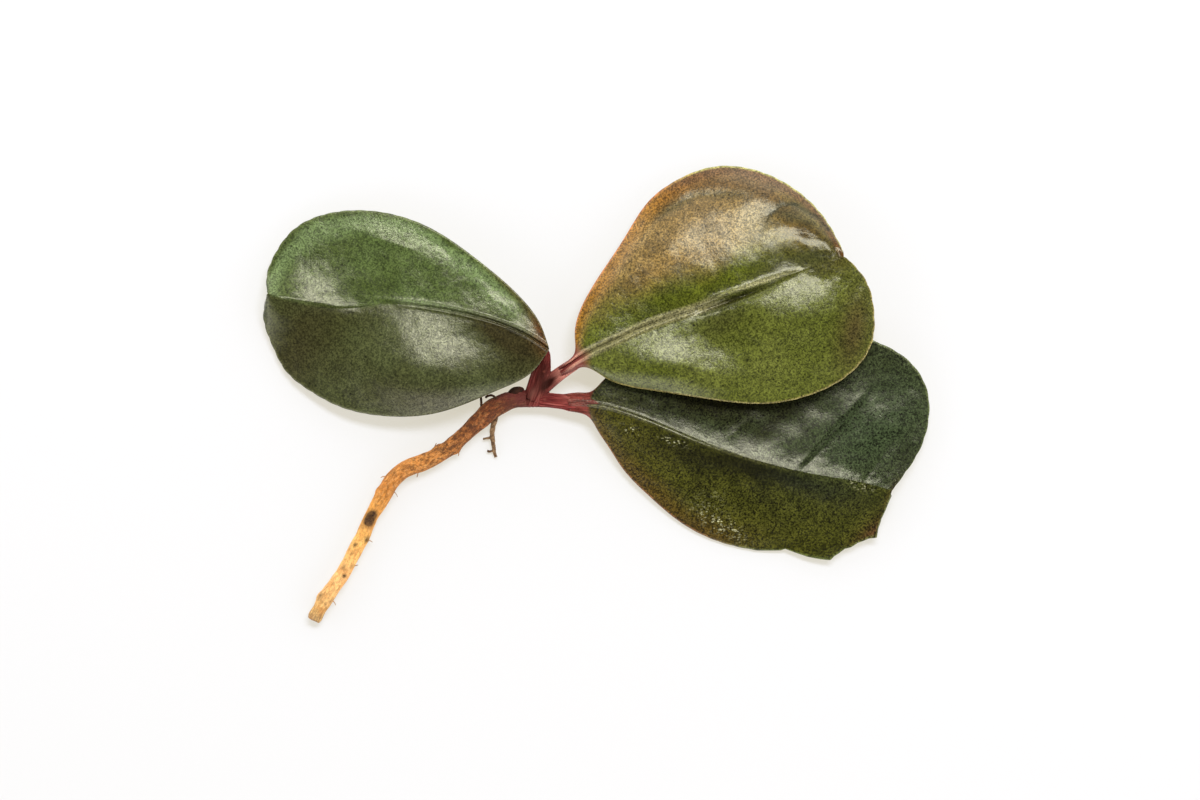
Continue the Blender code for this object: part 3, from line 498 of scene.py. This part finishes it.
def blade(name, leaf):
    """One thick blade: a grid bent to the leaf's form, thickened downwards and pressed flat below."""
    points, places = blade_strips(leaf)
    bpy.ops.mesh.primitive_grid_add(x_subdivisions=ALONG, y_subdivisions=ACROSS, size=2)
    piece = bpy.context.object
    piece.name = name
    flat = corners_of(piece)
    place = np.rint((flat[:, 0] + 1) / 2 * ALONG).astype(int)
    column = np.rint((flat[:, 1] + 1) / 2 * ACROSS).astype(int)
    shaped = points[column, place]
    along, from_rib, to_edge = places[column, place].T
    fading = np.clip(to_edge / LUMP_FREE, 0, 1)
    shaped[:, 2] += lumpy(shaped * (1, 1, 0), LUMP_SIZE, leaf["lumps"]) * fading
    drop = rim_drop(to_edge)
    shaped[:, 2] -= drop
    move_corners(piece, shaped * MM)
    keel = (1 - along) * np.exp(-(from_rib / KEEL_HALF_WIDTH) ** 2)
    thickness = BLADE_THICK + (KEEL_THICK - BLADE_THICK) * keel - 2 * drop
    for title, values in (("along", along), ("from_rib", from_rib), ("to_edge", to_edge)):
        note(piece, title, values)
    note_tints(piece, shaped, leaf["tints"])
    if piece.data.polygons[0].normal.z < 0:
        bpy.ops.object.mode_set(mode="EDIT")
        bpy.ops.mesh.flip_normals()
        bpy.ops.object.mode_set(mode="OBJECT")
    face_count = len(piece.data.vertices)
    applied(piece, "SOLIDIFY", thickness=BLADE_THICK * MM, offset=-1)
    pressed = corners_of(piece)
    pressed[face_count:] = shaped * MM
    pressed[face_count:, 2] -= thickness * MM
    move_corners(piece, pressed)
    press_flat(piece)
    note(piece, "under", np.arange(len(pressed)) >= face_count)
    return piece


def frames_along(line):
    """For each point of a line, the unit vectors ahead, to the side and upwards."""
    ahead = np.gradient(line[:, :3], axis=0)
    ahead /= np.linalg.norm(ahead, axis=1)[:, None]
    side = np.cross(ahead, (0, 0, 1))
    side /= np.linalg.norm(side, axis=1)[:, None]
    return ahead, side, np.cross(side, ahead)


def tube(name, line, corners, flatness=1.0, channel=0.0):
    """A cylinder drawn out along a line of x, y, z and radius in mm, with a channel in its upper side."""
    bpy.ops.mesh.primitive_cylinder_add(vertices=corners, radius=1, depth=1)
    piece = bpy.context.object
    piece.name = name
    bpy.ops.object.mode_set(mode="EDIT")
    bpy.ops.mesh.select_mode(type="EDGE")
    bpy.ops.mesh.select_all(action="DESELECT")
    body = bmesh.from_edit_mesh(piece.data)
    for edge in body.edges:
        edge.select = abs(edge.verts[0].co.z - edge.verts[1].co.z) > 0.5
    bmesh.update_edit_mesh(piece.data)
    bpy.ops.mesh.subdivide(number_cuts=len(line) - 2)
    bpy.ops.object.mode_set(mode="OBJECT")
    unit = corners_of(piece)
    ring = np.rint((unit[:, 2] + 0.5) * (len(line) - 1)).astype(int)
    angle = np.arctan2(unit[:, 1], unit[:, 0])
    reach_side = np.cos(angle)
    reach_up = flatness * np.sin(angle)
    reach_up -= channel * np.exp(-(reach_side / CHANNEL_WIDTH) ** 2) * (reach_up > 0)
    ahead, side, up = frames_along(line)
    radius = line[ring, 3]
    shaped = (line[ring, :3] + side[ring] * (radius * reach_side)[:, None]
              + up[ring] * (radius * reach_up)[:, None])
    move_corners(piece, shaped * MM)
    bpy.ops.object.mode_set(mode="EDIT")
    bpy.ops.mesh.select_all(action="SELECT")
    bpy.ops.mesh.normals_make_consistent()
    bpy.ops.object.mode_set(mode="OBJECT")
    return piece


def joined(name, pieces):
    """One object of several."""
    pick(*pieces)
    bpy.ops.object.join()
    pieces[0].name = name
    return pieces[0]


def grown_together(name, pieces, grain, rounds):
    """Pieces that overlap, as one skin with its joints softened. grain in mm."""
    body = joined(name, pieces)
    applied(body, "REMESH", mode="VOXEL", voxel_size=grain * MM)
    applied(body, "SMOOTH", factor=SOFTENING, iterations=rounds)
    return body


def straightened(piece, lines):
    """Each vertex's place as if the nearest line were straight. It's noted, with its share of the line."""
    places = corners_of(piece) / MM
    best = np.full(len(places), np.inf)
    straight = np.zeros_like(places)
    share = np.zeros(len(places))
    for number, line in enumerate(lines):
        ahead, side, up = frames_along(line)
        distance = walked(line)
        for start in range(0, len(places), CHUNK):
            chunk = slice(start, start + CHUNK)
            away = places[chunk, None, :] - line[None, :, :3]
            gaps = np.linalg.norm(away, axis=2) / line[None, :, 3]
            nearest = gaps.argmin(axis=1)
            rows = np.arange(len(nearest))
            gap = gaps[rows, nearest]
            out = away[rows, nearest]
            better = gap < best[chunk]
            place = np.column_stack([np.sum(out * axis[nearest], axis=1) for axis in (ahead, side, up)])
            place[:, 0] += distance[nearest] + LINE_GAP * number
            best[chunk] = np.where(better, gap, best[chunk])
            straight[chunk] = np.where(better[:, None], place, straight[chunk])
            share[chunk] = np.where(better, distance[nearest] / distance[-1], share[chunk])
    note(piece, "straight", straight)
    note(piece, "share", share)
    return straight


def outwards(piece, heights):
    """Move each vertex out along its normal by its height in mm."""
    move_corners(piece, corners_of(piece) + corners_of(piece, "normal") * np.asarray(heights)[:, None] * MM)


def knobs(piece, marks):
    """The sum of round marks at each vertex."""
    places = corners_of(piece) / MM
    total = np.zeros(len(places))
    for x, y, z, reach, height in marks:
        total += height * np.exp(-np.sum((places - (x, y, z)) ** 2, axis=1) / reach ** 2)
    return total


def finished(piece, finish, node, angle=None):
    """Shade a piece, give it its finish and its place in the frame."""
    pick(piece)
    if angle:
        bpy.ops.object.shade_smooth_by_angle(angle=math.radians(angle))
    else:
        bpy.ops.object.shade_smooth()
    piece.data.materials.append(finish.material)
    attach(piece, "root")
    if node:
        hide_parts(node)


# Shader maths

def set_stops(ramp, stops):
    """Give a colour ramp its places and colours."""
    while len(ramp.elements) < len(stops):
        ramp.elements.new(1.0)
    for stop, (place, colour) in zip(ramp.elements, stops):
        stop.position = place
        stop.color = (*colour, 1)


class Wire:
    """A socket of a finish that Python's operators work on."""

    def __init__(self, finish, socket):
        self.finish = finish
        self.socket = socket

    def math(self, operation, *values):
        return self.finish.add("ShaderNodeMath", {"operation": operation}, values)

    def __add__(self, other):
        return self.math("ADD", self, other)

    def __sub__(self, other):
        return self.math("SUBTRACT", self, other)

    def __rsub__(self, other):
        return self.math("SUBTRACT", other, self)

    def __mul__(self, other):
        return self.math("MULTIPLY", self, other)

    def size(self):
        return self.math("ABSOLUTE", self)

    def clipped(self):
        return self.finish.add("ShaderNodeMath", {"operation": "ADD", "use_clamp": True}, (self, 0.0))

    def step(self, low, high):
        """0 below low, 1 above high, smooth between them."""
        return self.finish.add("ShaderNodeMapRange", {"interpolation_type": "SMOOTHSTEP"},
                               {"Value": self, "From Min": low, "From Max": high})

    def scaled(self, *factors):
        """A vector stretched by a factor for each axis."""
        return self.finish.add("ShaderNodeVectorMath", {"operation": "MULTIPLY"}, (self, factors))

    __radd__ = __add__
    __rmul__ = __mul__


class Finish:
    """One material: its nodes, and the shader that they feed."""

    def __init__(self, name, **constants):
        self.material = bpy.data.materials.new(name)
        self.material.use_nodes = True
        self.nodes = self.material.node_tree.nodes
        self.links = self.material.node_tree.links
        self.shader = self.nodes["Principled BSDF"]
        for title, value in constants.items():
            self.shader.inputs[title.replace("_", " ")].default_value = value

    def add(self, kind, settings, values, out=0):
        """A node with its settings made, then its sockets filled with values or wires."""
        node = self.nodes.new(kind)
        for title, setting in settings.items():
            if title == "stops":
                set_stops(node.color_ramp, setting)
            else:
                setattr(node, title, setting)
        pairs = values.items() if isinstance(values, dict) else enumerate(values)
        for title, value in pairs:
            if isinstance(value, Wire):
                self.links.new(value.socket, node.inputs[title])
            else:
                node.inputs[title].default_value = value
        return Wire(self, node.outputs[out])

    def noted(self, name, out="Fac"):
        """A number noted for each vertex, or with Vector a place."""
        return self.add("ShaderNodeAttribute", {"attribute_name": name}, {}, out)

    def tint(self, name):
        """A number noted for each vertex, kept between 0 and 1."""
        return self.noted(name).clipped()

    def place(self):
        """The place on the object in metres."""
        return self.add("ShaderNodeTexCoord", {}, {}, "Object")

    def grain(self, place, scale, detail=2.0, roughness=0.5):
        """Cloudy noise around 0.5."""
        return self.add("ShaderNodeTexNoise", {},
                        {"Vector": place, "Scale": scale, "Detail": detail, "Roughness": roughness}, "Fac")

    def cells(self, place, scale, out="Distance"):
        """Distance to the nearest of scattered points, or the colour of that point."""
        return self.add("ShaderNodeTexVoronoi", {}, {"Vector": place, "Scale": scale}, out)

    def mix(self, share, first, second):
        """One colour going over into another."""
        pair = [value if isinstance(value, Wire) else (*value, 1) for value in (first, second)]
        return self.add("ShaderNodeMix", {"data_type": "RGBA"}, {0: share, 6: pair[0], 7: pair[1]}, 2)

    def dim(self, colour, factor):
        """A colour multiplied by a number."""
        return self.add("ShaderNodeVectorMath", {"operation": "SCALE"}, {0: colour, "Scale": factor})

    def over(self, colour, *layers):
        """A colour under layers of share and colour. A number for a colour dims what is there so far."""
        for share, layer in layers:
            if isinstance(layer, float):
                layer = self.dim(colour, layer)
            colour = self.mix(share, colour, layer)
        return colour

    def wear(self, **wires):
        """Feed the shader's sockets."""
        for title, wire in wires.items():
            self.links.new(wire.socket, self.shader.inputs[title.replace("_", " ")])

    def relief(self, height, depth, base=None):
        """A normal from a height, depth in metres."""
        values = {"Distance": depth, "Height": height}
        if base:
            values["Normal"] = base
        return self.add("ShaderNodeBump", {}, values, "Normal")


# Finishes. Noise scales are per metre, or per mm on a straightened place. Depths are in metres.

SKIN_DEPTH = 0.66  # darkens every leaf's colours alike
PORE_DEPTH = 0.00007
BARK_STOPS = [
    (0.000, (0.22, 0.14, 0.09)), (0.035, (0.5, 0.29, 0.12)), (0.15, (0.82, 0.45, 0.21)),
    (0.3, (0.74, 0.39, 0.12)), (0.4, (0.6, 0.27, 0.065)), (0.47, (0.44, 0.16, 0.034)),
    (0.61, (0.48, 0.19, 0.048)), (0.75, (0.25, 0.088, 0.026)), (0.88, (0.13, 0.033, 0.011)),
    (0.97, (0.05, 0.009, 0.005))]


def leaf_start(name, scale):
    """A leaf's finish, and wires: place, clouds, mm from the rib, mm to the edge, share along the leaf."""
    finish = Finish(name, Specular_IOR_Level=0.24, Coat_Roughness=0.32)
    place = finish.place()
    noted = [finish.noted(title) for title in ("from_rib", "to_edge", "along")]
    return finish, place, finish.grain(place, scale, 3.0, 0.55), *noted


def leaf_skin(finish, colour, grain, calm=0.0, coat=0.27, pebble=0.00007):
    """What all three leaves share: dark pores, a paler underside and a fine pebbled wax."""
    place = finish.place()
    pores = finish.grain(place, 2200, 2.0, 0.7)
    grit = (0.5 * finish.cells(place, 2500, "Color") + 0.5 * pores.step(0.34, 0.66)).step(0.1, 0.9)
    blotch = finish.grain(place, 420, 3.0, 0.6)
    specks = (1 - finish.cells(place, 620).step(0.1, 0.26)) * finish.grain(place, 260, 2.0).step(0.4, 0.6)
    shade = (0.45 + 1.1 * blotch) * (1 - 0.5 * grain + grain * grit) * (1 - 0.65 * specks)
    shade = 1 + (shade - 1) * (1 - 0.8 * calm)
    under = finish.noted("under")
    pale = finish.mix(blotch, (0.16, 0.17, 0.07), (0.22, 0.21, 0.1))
    dull = finish.tint("dull")
    rough = (0.09 * (1 - grit) + 0.05 * blotch) * (1 - 0.7 * dull)
    wax = (0.15 + 1.5 * grit) * (0.6 + 0.8 * blotch) * (1 - 0.8 * specks) * (1 - dull) * (1 - 0.8 * calm)
    pebbles = finish.relief(blotch * (1 - 0.5 * dull), pebble)
    finish.wear(Base_Color=finish.mix(under, finish.dim(colour, SKIN_DEPTH * shade), pale),
                Roughness=0.2 + rough - 0.04 * dull + 0.12 * under,
                Coat_Weight=(coat * wax * (1 - 0.6 * under)).clipped(),
                Normal=finish.relief(pores * (1 - 0.65 * dull), PORE_DEPTH, pebbles))
    return finish


def left_leaf_finish():
    finish, _, cloud, from_rib, to_edge, _ = leaf_start("leaf_mid_green", 90)
    far = from_rib.step(-0.8, 0.8)
    cloudy = cloud.step(0.35, 0.65)
    near_green = finish.mix(cloudy, (0.045, 0.051, 0.02), (0.056, 0.066, 0.028))
    far_green = finish.mix(cloudy, (0.052, 0.076, 0.022), (0.068, 0.1, 0.034))
    # A paler green band inside the far edge: the leaf's own paler tone, with painted sheen in it.
    inner = (to_edge + 6 * (cloud - 0.5)).step(3.5, 8.0)
    band = (to_edge + 4 * (cloud - 0.5)).step(0.6, 2.4) * (1 - inner) * far
    return leaf_skin(finish, finish.over(
        finish.mix(far, near_green, far_green),
        # paler green with painted sheen
        (band * 0.85, (0.12, 0.172, 0.08)),
        (finish.tint("brown"), (0.034, 0.029, 0.013)),
        (finish.tint("red"), (0.08, 0.035, 0.014)),
        ((1 - to_edge.step(0.15, 0.9)) * 0.3, (0.11, 0.12, 0.05))), 1.1)


def upper_leaf_finish():
    finish, place, cloud, from_rib, to_edge, along = leaf_start("leaf_olive", 80)
    far = from_rib.step(-0.5, 0.5)
    near_green = finish.mix(cloud.step(0.3, 0.7), (0.07, 0.084, 0.013), (0.095, 0.109, 0.024))
    bronze = (from_rib + 10 * (cloud - 0.5)).step(4.0, 13.0) * finish.tint("bronze")
    mottle = finish.grain(place.scaled(0.7, 1.0, 1.0), 190, 3.0, 0.6).step(0.36, 0.64)
    band = (1 - (to_edge + 4 * (cloud - 0.5)).step(0.4, 6.5)) * far * (1 - along.step(0.5, 0.68))
    blush = (1 - (to_edge + 2.5 * (cloud - 0.5) - 0.8).size().step(0.4, 3.0)) * far * along.step(0.42, 0.55)
    rib = (1 - from_rib.size().step(0.9, 2.0)) * (1 - along.step(0.5, 0.62))
    ridge = 1 - (from_rib.size() - 0.85).size().step(0.15, 0.6)
    red = finish.mix(along.step(0.0, 0.04), (0.115, 0.018, 0.019), (0.19, 0.04, 0.042))
    red = finish.mix(ridge * along.step(0.0, 0.05), red, (0.48, 0.22, 0.19))
    base = 1 - (along + 0.01 * from_rib.size()).step(0.07, 0.135)
    pale = finish.mix(far, (0.27, 0.22, 0.08), (0.4, 0.4, 0.14))
    rim_colour = finish.mix((far * (1 - along.step(0.45, 0.6))).clipped(), pale, (0.46, 0.16, 0.05))
    return leaf_skin(finish, finish.over(
        finish.mix(far, near_green, (0.082, 0.099, 0.01)),
        (bronze, (0.215, 0.138, 0.05)),
        # darker reddish brown, partly painted shade
        ((finish.tint("dusk") * (0.6 + 0.8 * cloud)).clipped(), (0.112, 0.056, 0.017)),
        (far * (1 - mottle) * 0.7, 0.5),
        (finish.tint("shade"), (0.05, 0.052, 0.017)),
        (band, (0.245, 0.11, 0.012)),
        (blush * 0.85, (0.1, 0.042, 0.016)),
        # painted shade along the creases
        (finish.tint("crease"), (0.022, 0.021, 0.007)),
        # painted highlight along the fold's crest
        (finish.tint("crest"), (0.34, 0.32, 0.2)),
        (finish.tint("brown"), (0.058, 0.043, 0.016)),
        (rib * 0.8, (0.2, 0.185, 0.105)),
        (base, red),
        ((1 - to_edge.step(0.1, 0.75)) * (1 - base) * 0.8, rim_colour)), 1.25, base)


def lower_leaf_finish():
    finish, place, cloud, from_rib, to_edge, along = leaf_start("leaf_dark_green", 90)
    far = from_rib.step(-0.4, 0.4)
    mottle = finish.grain(place, 240, 3.0, 0.6).step(0.35, 0.65)
    near_green = finish.mix(mottle, (0.033, 0.035, 0.005), (0.052, 0.054, 0.009))
    far_green = finish.mix(mottle, (0.022, 0.028, 0.012), (0.037, 0.048, 0.024))
    tan = (1 - (to_edge + 6 * (cloud - 0.5)).step(0.5, 8.0)) * (1 - far) * (1 - along.step(0.45, 0.65))
    rib = (1 - from_rib.size().step(0.3, 0.9)) * (1 - along.step(0.5, 0.75))
    streak = finish.grain(place.scaled(0.15, 1.0, 1.0), 1800, 3.0, 0.6)
    red = finish.mix(streak.step(0.35, 0.65), (0.08, 0.01, 0.01), (0.23, 0.045, 0.042))
    base = 1 - (along - 0.035 * (1 - from_rib.size().step(0.3, 1.6)) * far).step(0.05, 0.064)
    rim_colour = finish.mix(along.step(0.4, 0.6), (0.24, 0.085, 0.04), (0.12, 0.15, 0.055))
    flecks = 1 - finish.cells(place.scaled(0.5, 1.0, 1.0), 2100).step(0.25, 0.55)
    flecks = flecks * finish.grain(place, 700, 3.0).step(0.46, 0.54)
    return leaf_skin(finish, finish.over(
        finish.mix(far, near_green, far_green),
        # painted shade, near black, where the upper leaf's shadow and the creases fall
        (finish.tint("dusk"), (0.01, 0.01, 0.003)),
        (finish.tint("teal"), (0.032, 0.048, 0.025)),
        (tan, (0.074, 0.04, 0.009)),
        (finish.tint("olive"), (0.058, 0.052, 0.008)),
        ((finish.noted("brown") * (0.5 + cloud)).clipped(), (0.07, 0.034, 0.016)),
        (rib * 0.25, (0.13, 0.13, 0.065)),
        (base, red),
        ((1 - to_edge.step(0.1, 0.75)) * (1 - base) * 0.55, rim_colour),
        ((flecks * finish.noted("scuff")).clipped(), (0.42, 0.42, 0.3))), 1.7, base, 0.2, 0.00004)


def bark_finish():
    finish = Finish("bark", Specular_IOR_Level=0.18)
    straight = finish.noted("straight", "Vector")
    share = finish.noted("share")
    fibre = finish.grain(straight.scaled(0.25, 1.3, 1.3), 2.2, 4.0, 0.65)
    patch = finish.grain(straight.scaled(0.7, 1.0, 1.0), 0.55, 6.0, 0.72)
    mottle = finish.grain(straight.scaled(0.8, 1.0, 1.0), 1.3, 6.0, 0.8)
    grit = finish.grain(straight.scaled(0.9, 1.0, 1.0), 3.6, 3.0, 0.7)
    wander = (share + 0.1 * (patch - 0.5)).clipped()
    old = share.step(0.35, 0.8)
    bark = finish.add("ShaderNodeValToRGB", {"stops": BARK_STOPS}, {0: wander})
    straw = fibre.step(0.5, 0.62) * (0.55 - 0.25 * share.step(0.25, 0.45)) * (1 - share.step(0.6, 0.8))
    bark = finish.over(
        finish.dim(bark, 1 + (mottle.step(0.42, 0.58) - 0.5) * (0.35 + 0.55 * old)),
        (straw, (0.84, 0.54, 0.26)),
        ((1 - patch.step(0.4, 0.52)) * 0.45 * (1 - old), (0.6, 0.25, 0.07)),
        (patch.step(0.5, 0.6) * 0.45 * old, (0.44, 0.185, 0.075)),
        ((1 - fibre.step(0.3, 0.5)) * (0.25 + 0.25 * old), 0.45),
        ((1 - patch.step(0.4, 0.54)) * (0.1 + 0.65 * old), (0.075, 0.022, 0.012)),
        ((1 - mottle.step(0.4, 0.5)) * (0.25 + 0.45 * old), (0.06, 0.02, 0.011)),
        (grit.step(0.54, 0.62) * (0.22 + 0.45 * old), (0.085, 0.028, 0.012)),
        (finish.tint("maroon") * (0.5 + 0.7 * mottle), (0.098, 0.018, 0.02)),
        (finish.tint("ring") * 0.6, (0.2, 0.085, 0.035)),
        (finish.tint("scar") * (0.7 + 0.3 * mottle.step(0.4, 0.6)), (0.022, 0.009, 0.006)))
    finish.wear(Base_Color=bark, Roughness=0.5 + 0.25 * fibre,
                Normal=finish.relief(fibre, 0.00045, finish.relief(patch, 0.0009)))
    return finish


def stalk_finish():
    finish = Finish("stalk_red", Specular_IOR_Level=0.06)
    straight = finish.noted("straight", "Vector")
    streak = finish.grain(straight.scaled(0.12, 1.6, 1.6), 1.8, 3.0, 0.6)
    red = finish.over(
        finish.mix(streak.step(0.35, 0.65), (0.06, 0.0055, 0.008), (0.19, 0.031, 0.034)),
        (streak.step(0.55, 0.72) * 0.45, (0.36, 0.145, 0.14)),
        # rosy tone, with a painted highlight at the joint of the stalks
        (finish.tint("pink") * (0.6 + 0.8 * streak), (0.44, 0.175, 0.165)),
        # dark maroon, deepened into painted shade between the stalks and under the left leaf
        (finish.tint("dark"), (0.022, 0.0045, 0.004)),
        (finish.grain(straight, 0.5, 2.0).step(0.6, 0.75) * 0.5, (0.13, 0.035, 0.03)))
    finish.wear(Base_Color=red, Roughness=0.34 + 0.18 * streak, Normal=finish.relief(streak, 0.00025))
    return finish


def root_finish(name, light, dark):
    finish = Finish(name, Specular_IOR_Level=0.15)
    crumble = finish.grain(finish.place(), 900, 4.0, 0.65)
    finish.wear(Base_Color=finish.mix(crumble.step(0.38, 0.62), dark, light), Roughness=0.55 + 0.3 * crumble,
                Normal=finish.relief(crumble, 0.0003))
    return finish


# The leaves

finished(blade("left_blade", LEFT_LEAF), left_leaf_finish(), "leaf_left")
finished(blade("upper_blade", UPPER_LEAF), upper_leaf_finish(), "leaf_upper")
finished(blade("lower_blade", LOWER_LEAF), lower_leaf_finish(), "leaf_lower")

# The stem

main_axis = smooth_line(MAIN_AXIS, AXIS_STRIPS)
stem_line = stretch(main_axis, 0.0, STEM_LENGTH + STEM_INSIDE, STEM_STRIPS)
stem_line[:2, 3] *= CUT_END
stem_line[-6:, 3] *= TOP_END
bark_stem = tube("bark_stem", stem_line, STEM_CORNERS)
straight = straightened(bark_stem, [stem_line])
waves = 0.14 * np.array([noise.noise(Vector(place)) for place in straight * (0.45, 0.3, 0.3)])
outwards(bark_stem, fibres(straight, 0.22, 1.1, 0.13, 4) + waves + knobs(bark_stem, STEM_MARKS))
press_flat(bark_stem)
note(bark_stem, "scar", knobs(bark_stem, SCARS))
note(bark_stem, "ring", knobs(bark_stem, SCAR_RING))
note_tints(bark_stem, corners_of(bark_stem) / MM, STEM_TINTS)
finished(bark_stem, bark_finish(), "stem", BARK_ANGLE)

# The red crown and its stalks

crown_line = stretch(main_axis, STEM_LENGTH - CROWN_INSIDE, walked(main_axis)[-1], 90)
stalks = [("lower_stalk", smooth_line([*crown_line[:-20:12], *LOWER_STALK], 110), LOWER_CHANNEL),
          ("left_stalk", smooth_line(LEFT_STALK, 70), 0.0),
          ("upper_stalk", smooth_line(UPPER_STALK, 80), UPPER_CHANNEL)]
red_stalks = grown_together("red_stalks", [tube(name, line, STALK_CORNERS, FLATNESS, channel)
                                          for name, line, channel in stalks], CROWN_VOXEL, CROWN_ROUNDS)
straight = straightened(red_stalks, [line for name, line, channel in stalks])
note_tints(red_stalks, corners_of(red_stalks) / MM, STALK_TINTS)
outwards(red_stalks, fibres(straight, 0.16, 1.5, 0.11, 3))
finished(red_stalks, stalk_finish(), "leaf_stalks")

# The side root with its hairs

brown_root = grown_together("brown_root", [
    tube("root_core", smooth_line(SIDE_ROOT, ROOT_STRIPS), ROOT_CORNERS),
    *[tube("root_hair", smooth_line(line, 20), HAIR_CORNERS) for line in ROOT_HAIRS]],
    ROOT_VOXEL, ROOT_ROUNDS)
outwards(brown_root, lumpy(corners_of(brown_root) / MM, 0.8, 0.1))
finished(brown_root, root_finish("root_brown", (0.2, 0.125, 0.08), (0.06, 0.03, 0.018)), "side_root")

# The bud

bpy.ops.mesh.primitive_uv_sphere_add(segments=48, ring_count=32, radius=1)
dark_bud = bpy.context.object
dark_bud.name = "dark_bud"
ball = corners_of(dark_bud)
ball[:, :2] *= (1 - BUD_TAPER * np.maximum(ball[:, 2], 0))[:, None]
turn = np.arctan2(ball[:, 1], ball[:, 0])
ball *= (1 + BUD_FURROW * np.abs(np.sin(1.5 * turn + BUD_TWIST * ball[:, 2])))[:, None]
move_corners(dark_bud, ball * BUD_SIZE * MM)
dark_bud.location = [value * MM for value in BUD_CENTRE]
dark_bud.rotation_euler = BUD_LEAN
bpy.ops.object.transform_apply()
finished(dark_bud, root_finish("bud_maroon", (0.04, 0.01, 0.006), (0.014, 0.004, 0.003)), "bud")

# The short hairs and the root threads on the stem

for name, lines, width, lumps, *look in (
        ("stem_hairs", STEM_HAIRS, HAIR_SHARE, 0.03, "hair_brown", (0.36, 0.2, 0.1), (0.16, 0.075, 0.035)),
        ("root_threads", STEM_THREADS, 1, 0.06, "thread_brown", (0.06, 0.025, 0.014), (0.018, 0.008, 0.006))):
    piece = joined(name, [tube(name, smooth_line(line, HAIR_STRIPS) * (1, 1, 1, width), HAIR_CORNERS)
                          for line in lines])
    outwards(piece, lumpy(corners_of(piece) / MM, 0.5, lumps))
    finished(piece, root_finish(*look), None)

# The table, the light and the camera

bpy.ops.mesh.primitive_plane_add(size=TABLE_SIZE, location=(0, 0, TABLE_LEVEL))
table = bpy.context.object
table.name = "table"
paper = Finish("white_table", Roughness=0.7, Specular_IOR_Level=0.2, Base_Color=TABLE_COLOUR,
               Emission_Color=TABLE_GLOW, Emission_Strength=TABLE_GLOW_STRENGTH)
table.data.materials.append(paper.material)

scene = bpy.context.scene
lamp = bpy.data.lights.new("key", "AREA")
lamp.shape = "RECTANGLE"
lamp.size, lamp.size_y = KEY_SIZE
lamp.energy = KEY_POWER
lamp.color = KEY_COLOUR
softbox = bpy.data.objects.new("key", lamp)
softbox.location = KEY_PLACE
softbox.rotation_euler = (-Vector(KEY_PLACE)).to_track_quat("-Z", "Y").to_euler()
scene.collection.objects.link(softbox)

world = bpy.data.worlds.new("room")
scene.world = world
world.use_nodes = True
sky = world.node_tree
background = sky.nodes["Background"]
direction = sky.nodes.new("ShaderNodeTexCoord")
split = sky.nodes.new("ShaderNodeSeparateXYZ")
height = sky.nodes.new("ShaderNodeValToRGB")
sky.links.new(direction.outputs["Generated"], split.inputs[0])
sky.links.new(split.outputs["Z"], height.inputs[0])
sky.links.new(height.outputs[0], background.inputs["Color"])
set_stops(height.color_ramp, SKY_STOPS)
background.inputs["Strength"].default_value = SKY_STRENGTH

eye = bpy.data.cameras.new("eye")
eye.lens = EYE_LENS
eye.clip_start, eye.clip_end = EYE_CLIP
camera = bpy.data.objects.new("eye", eye)
camera.location = EYE_PLACE
scene.collection.objects.link(camera)
scene.camera = camera
scene.view_settings.view_transform = "Standard"
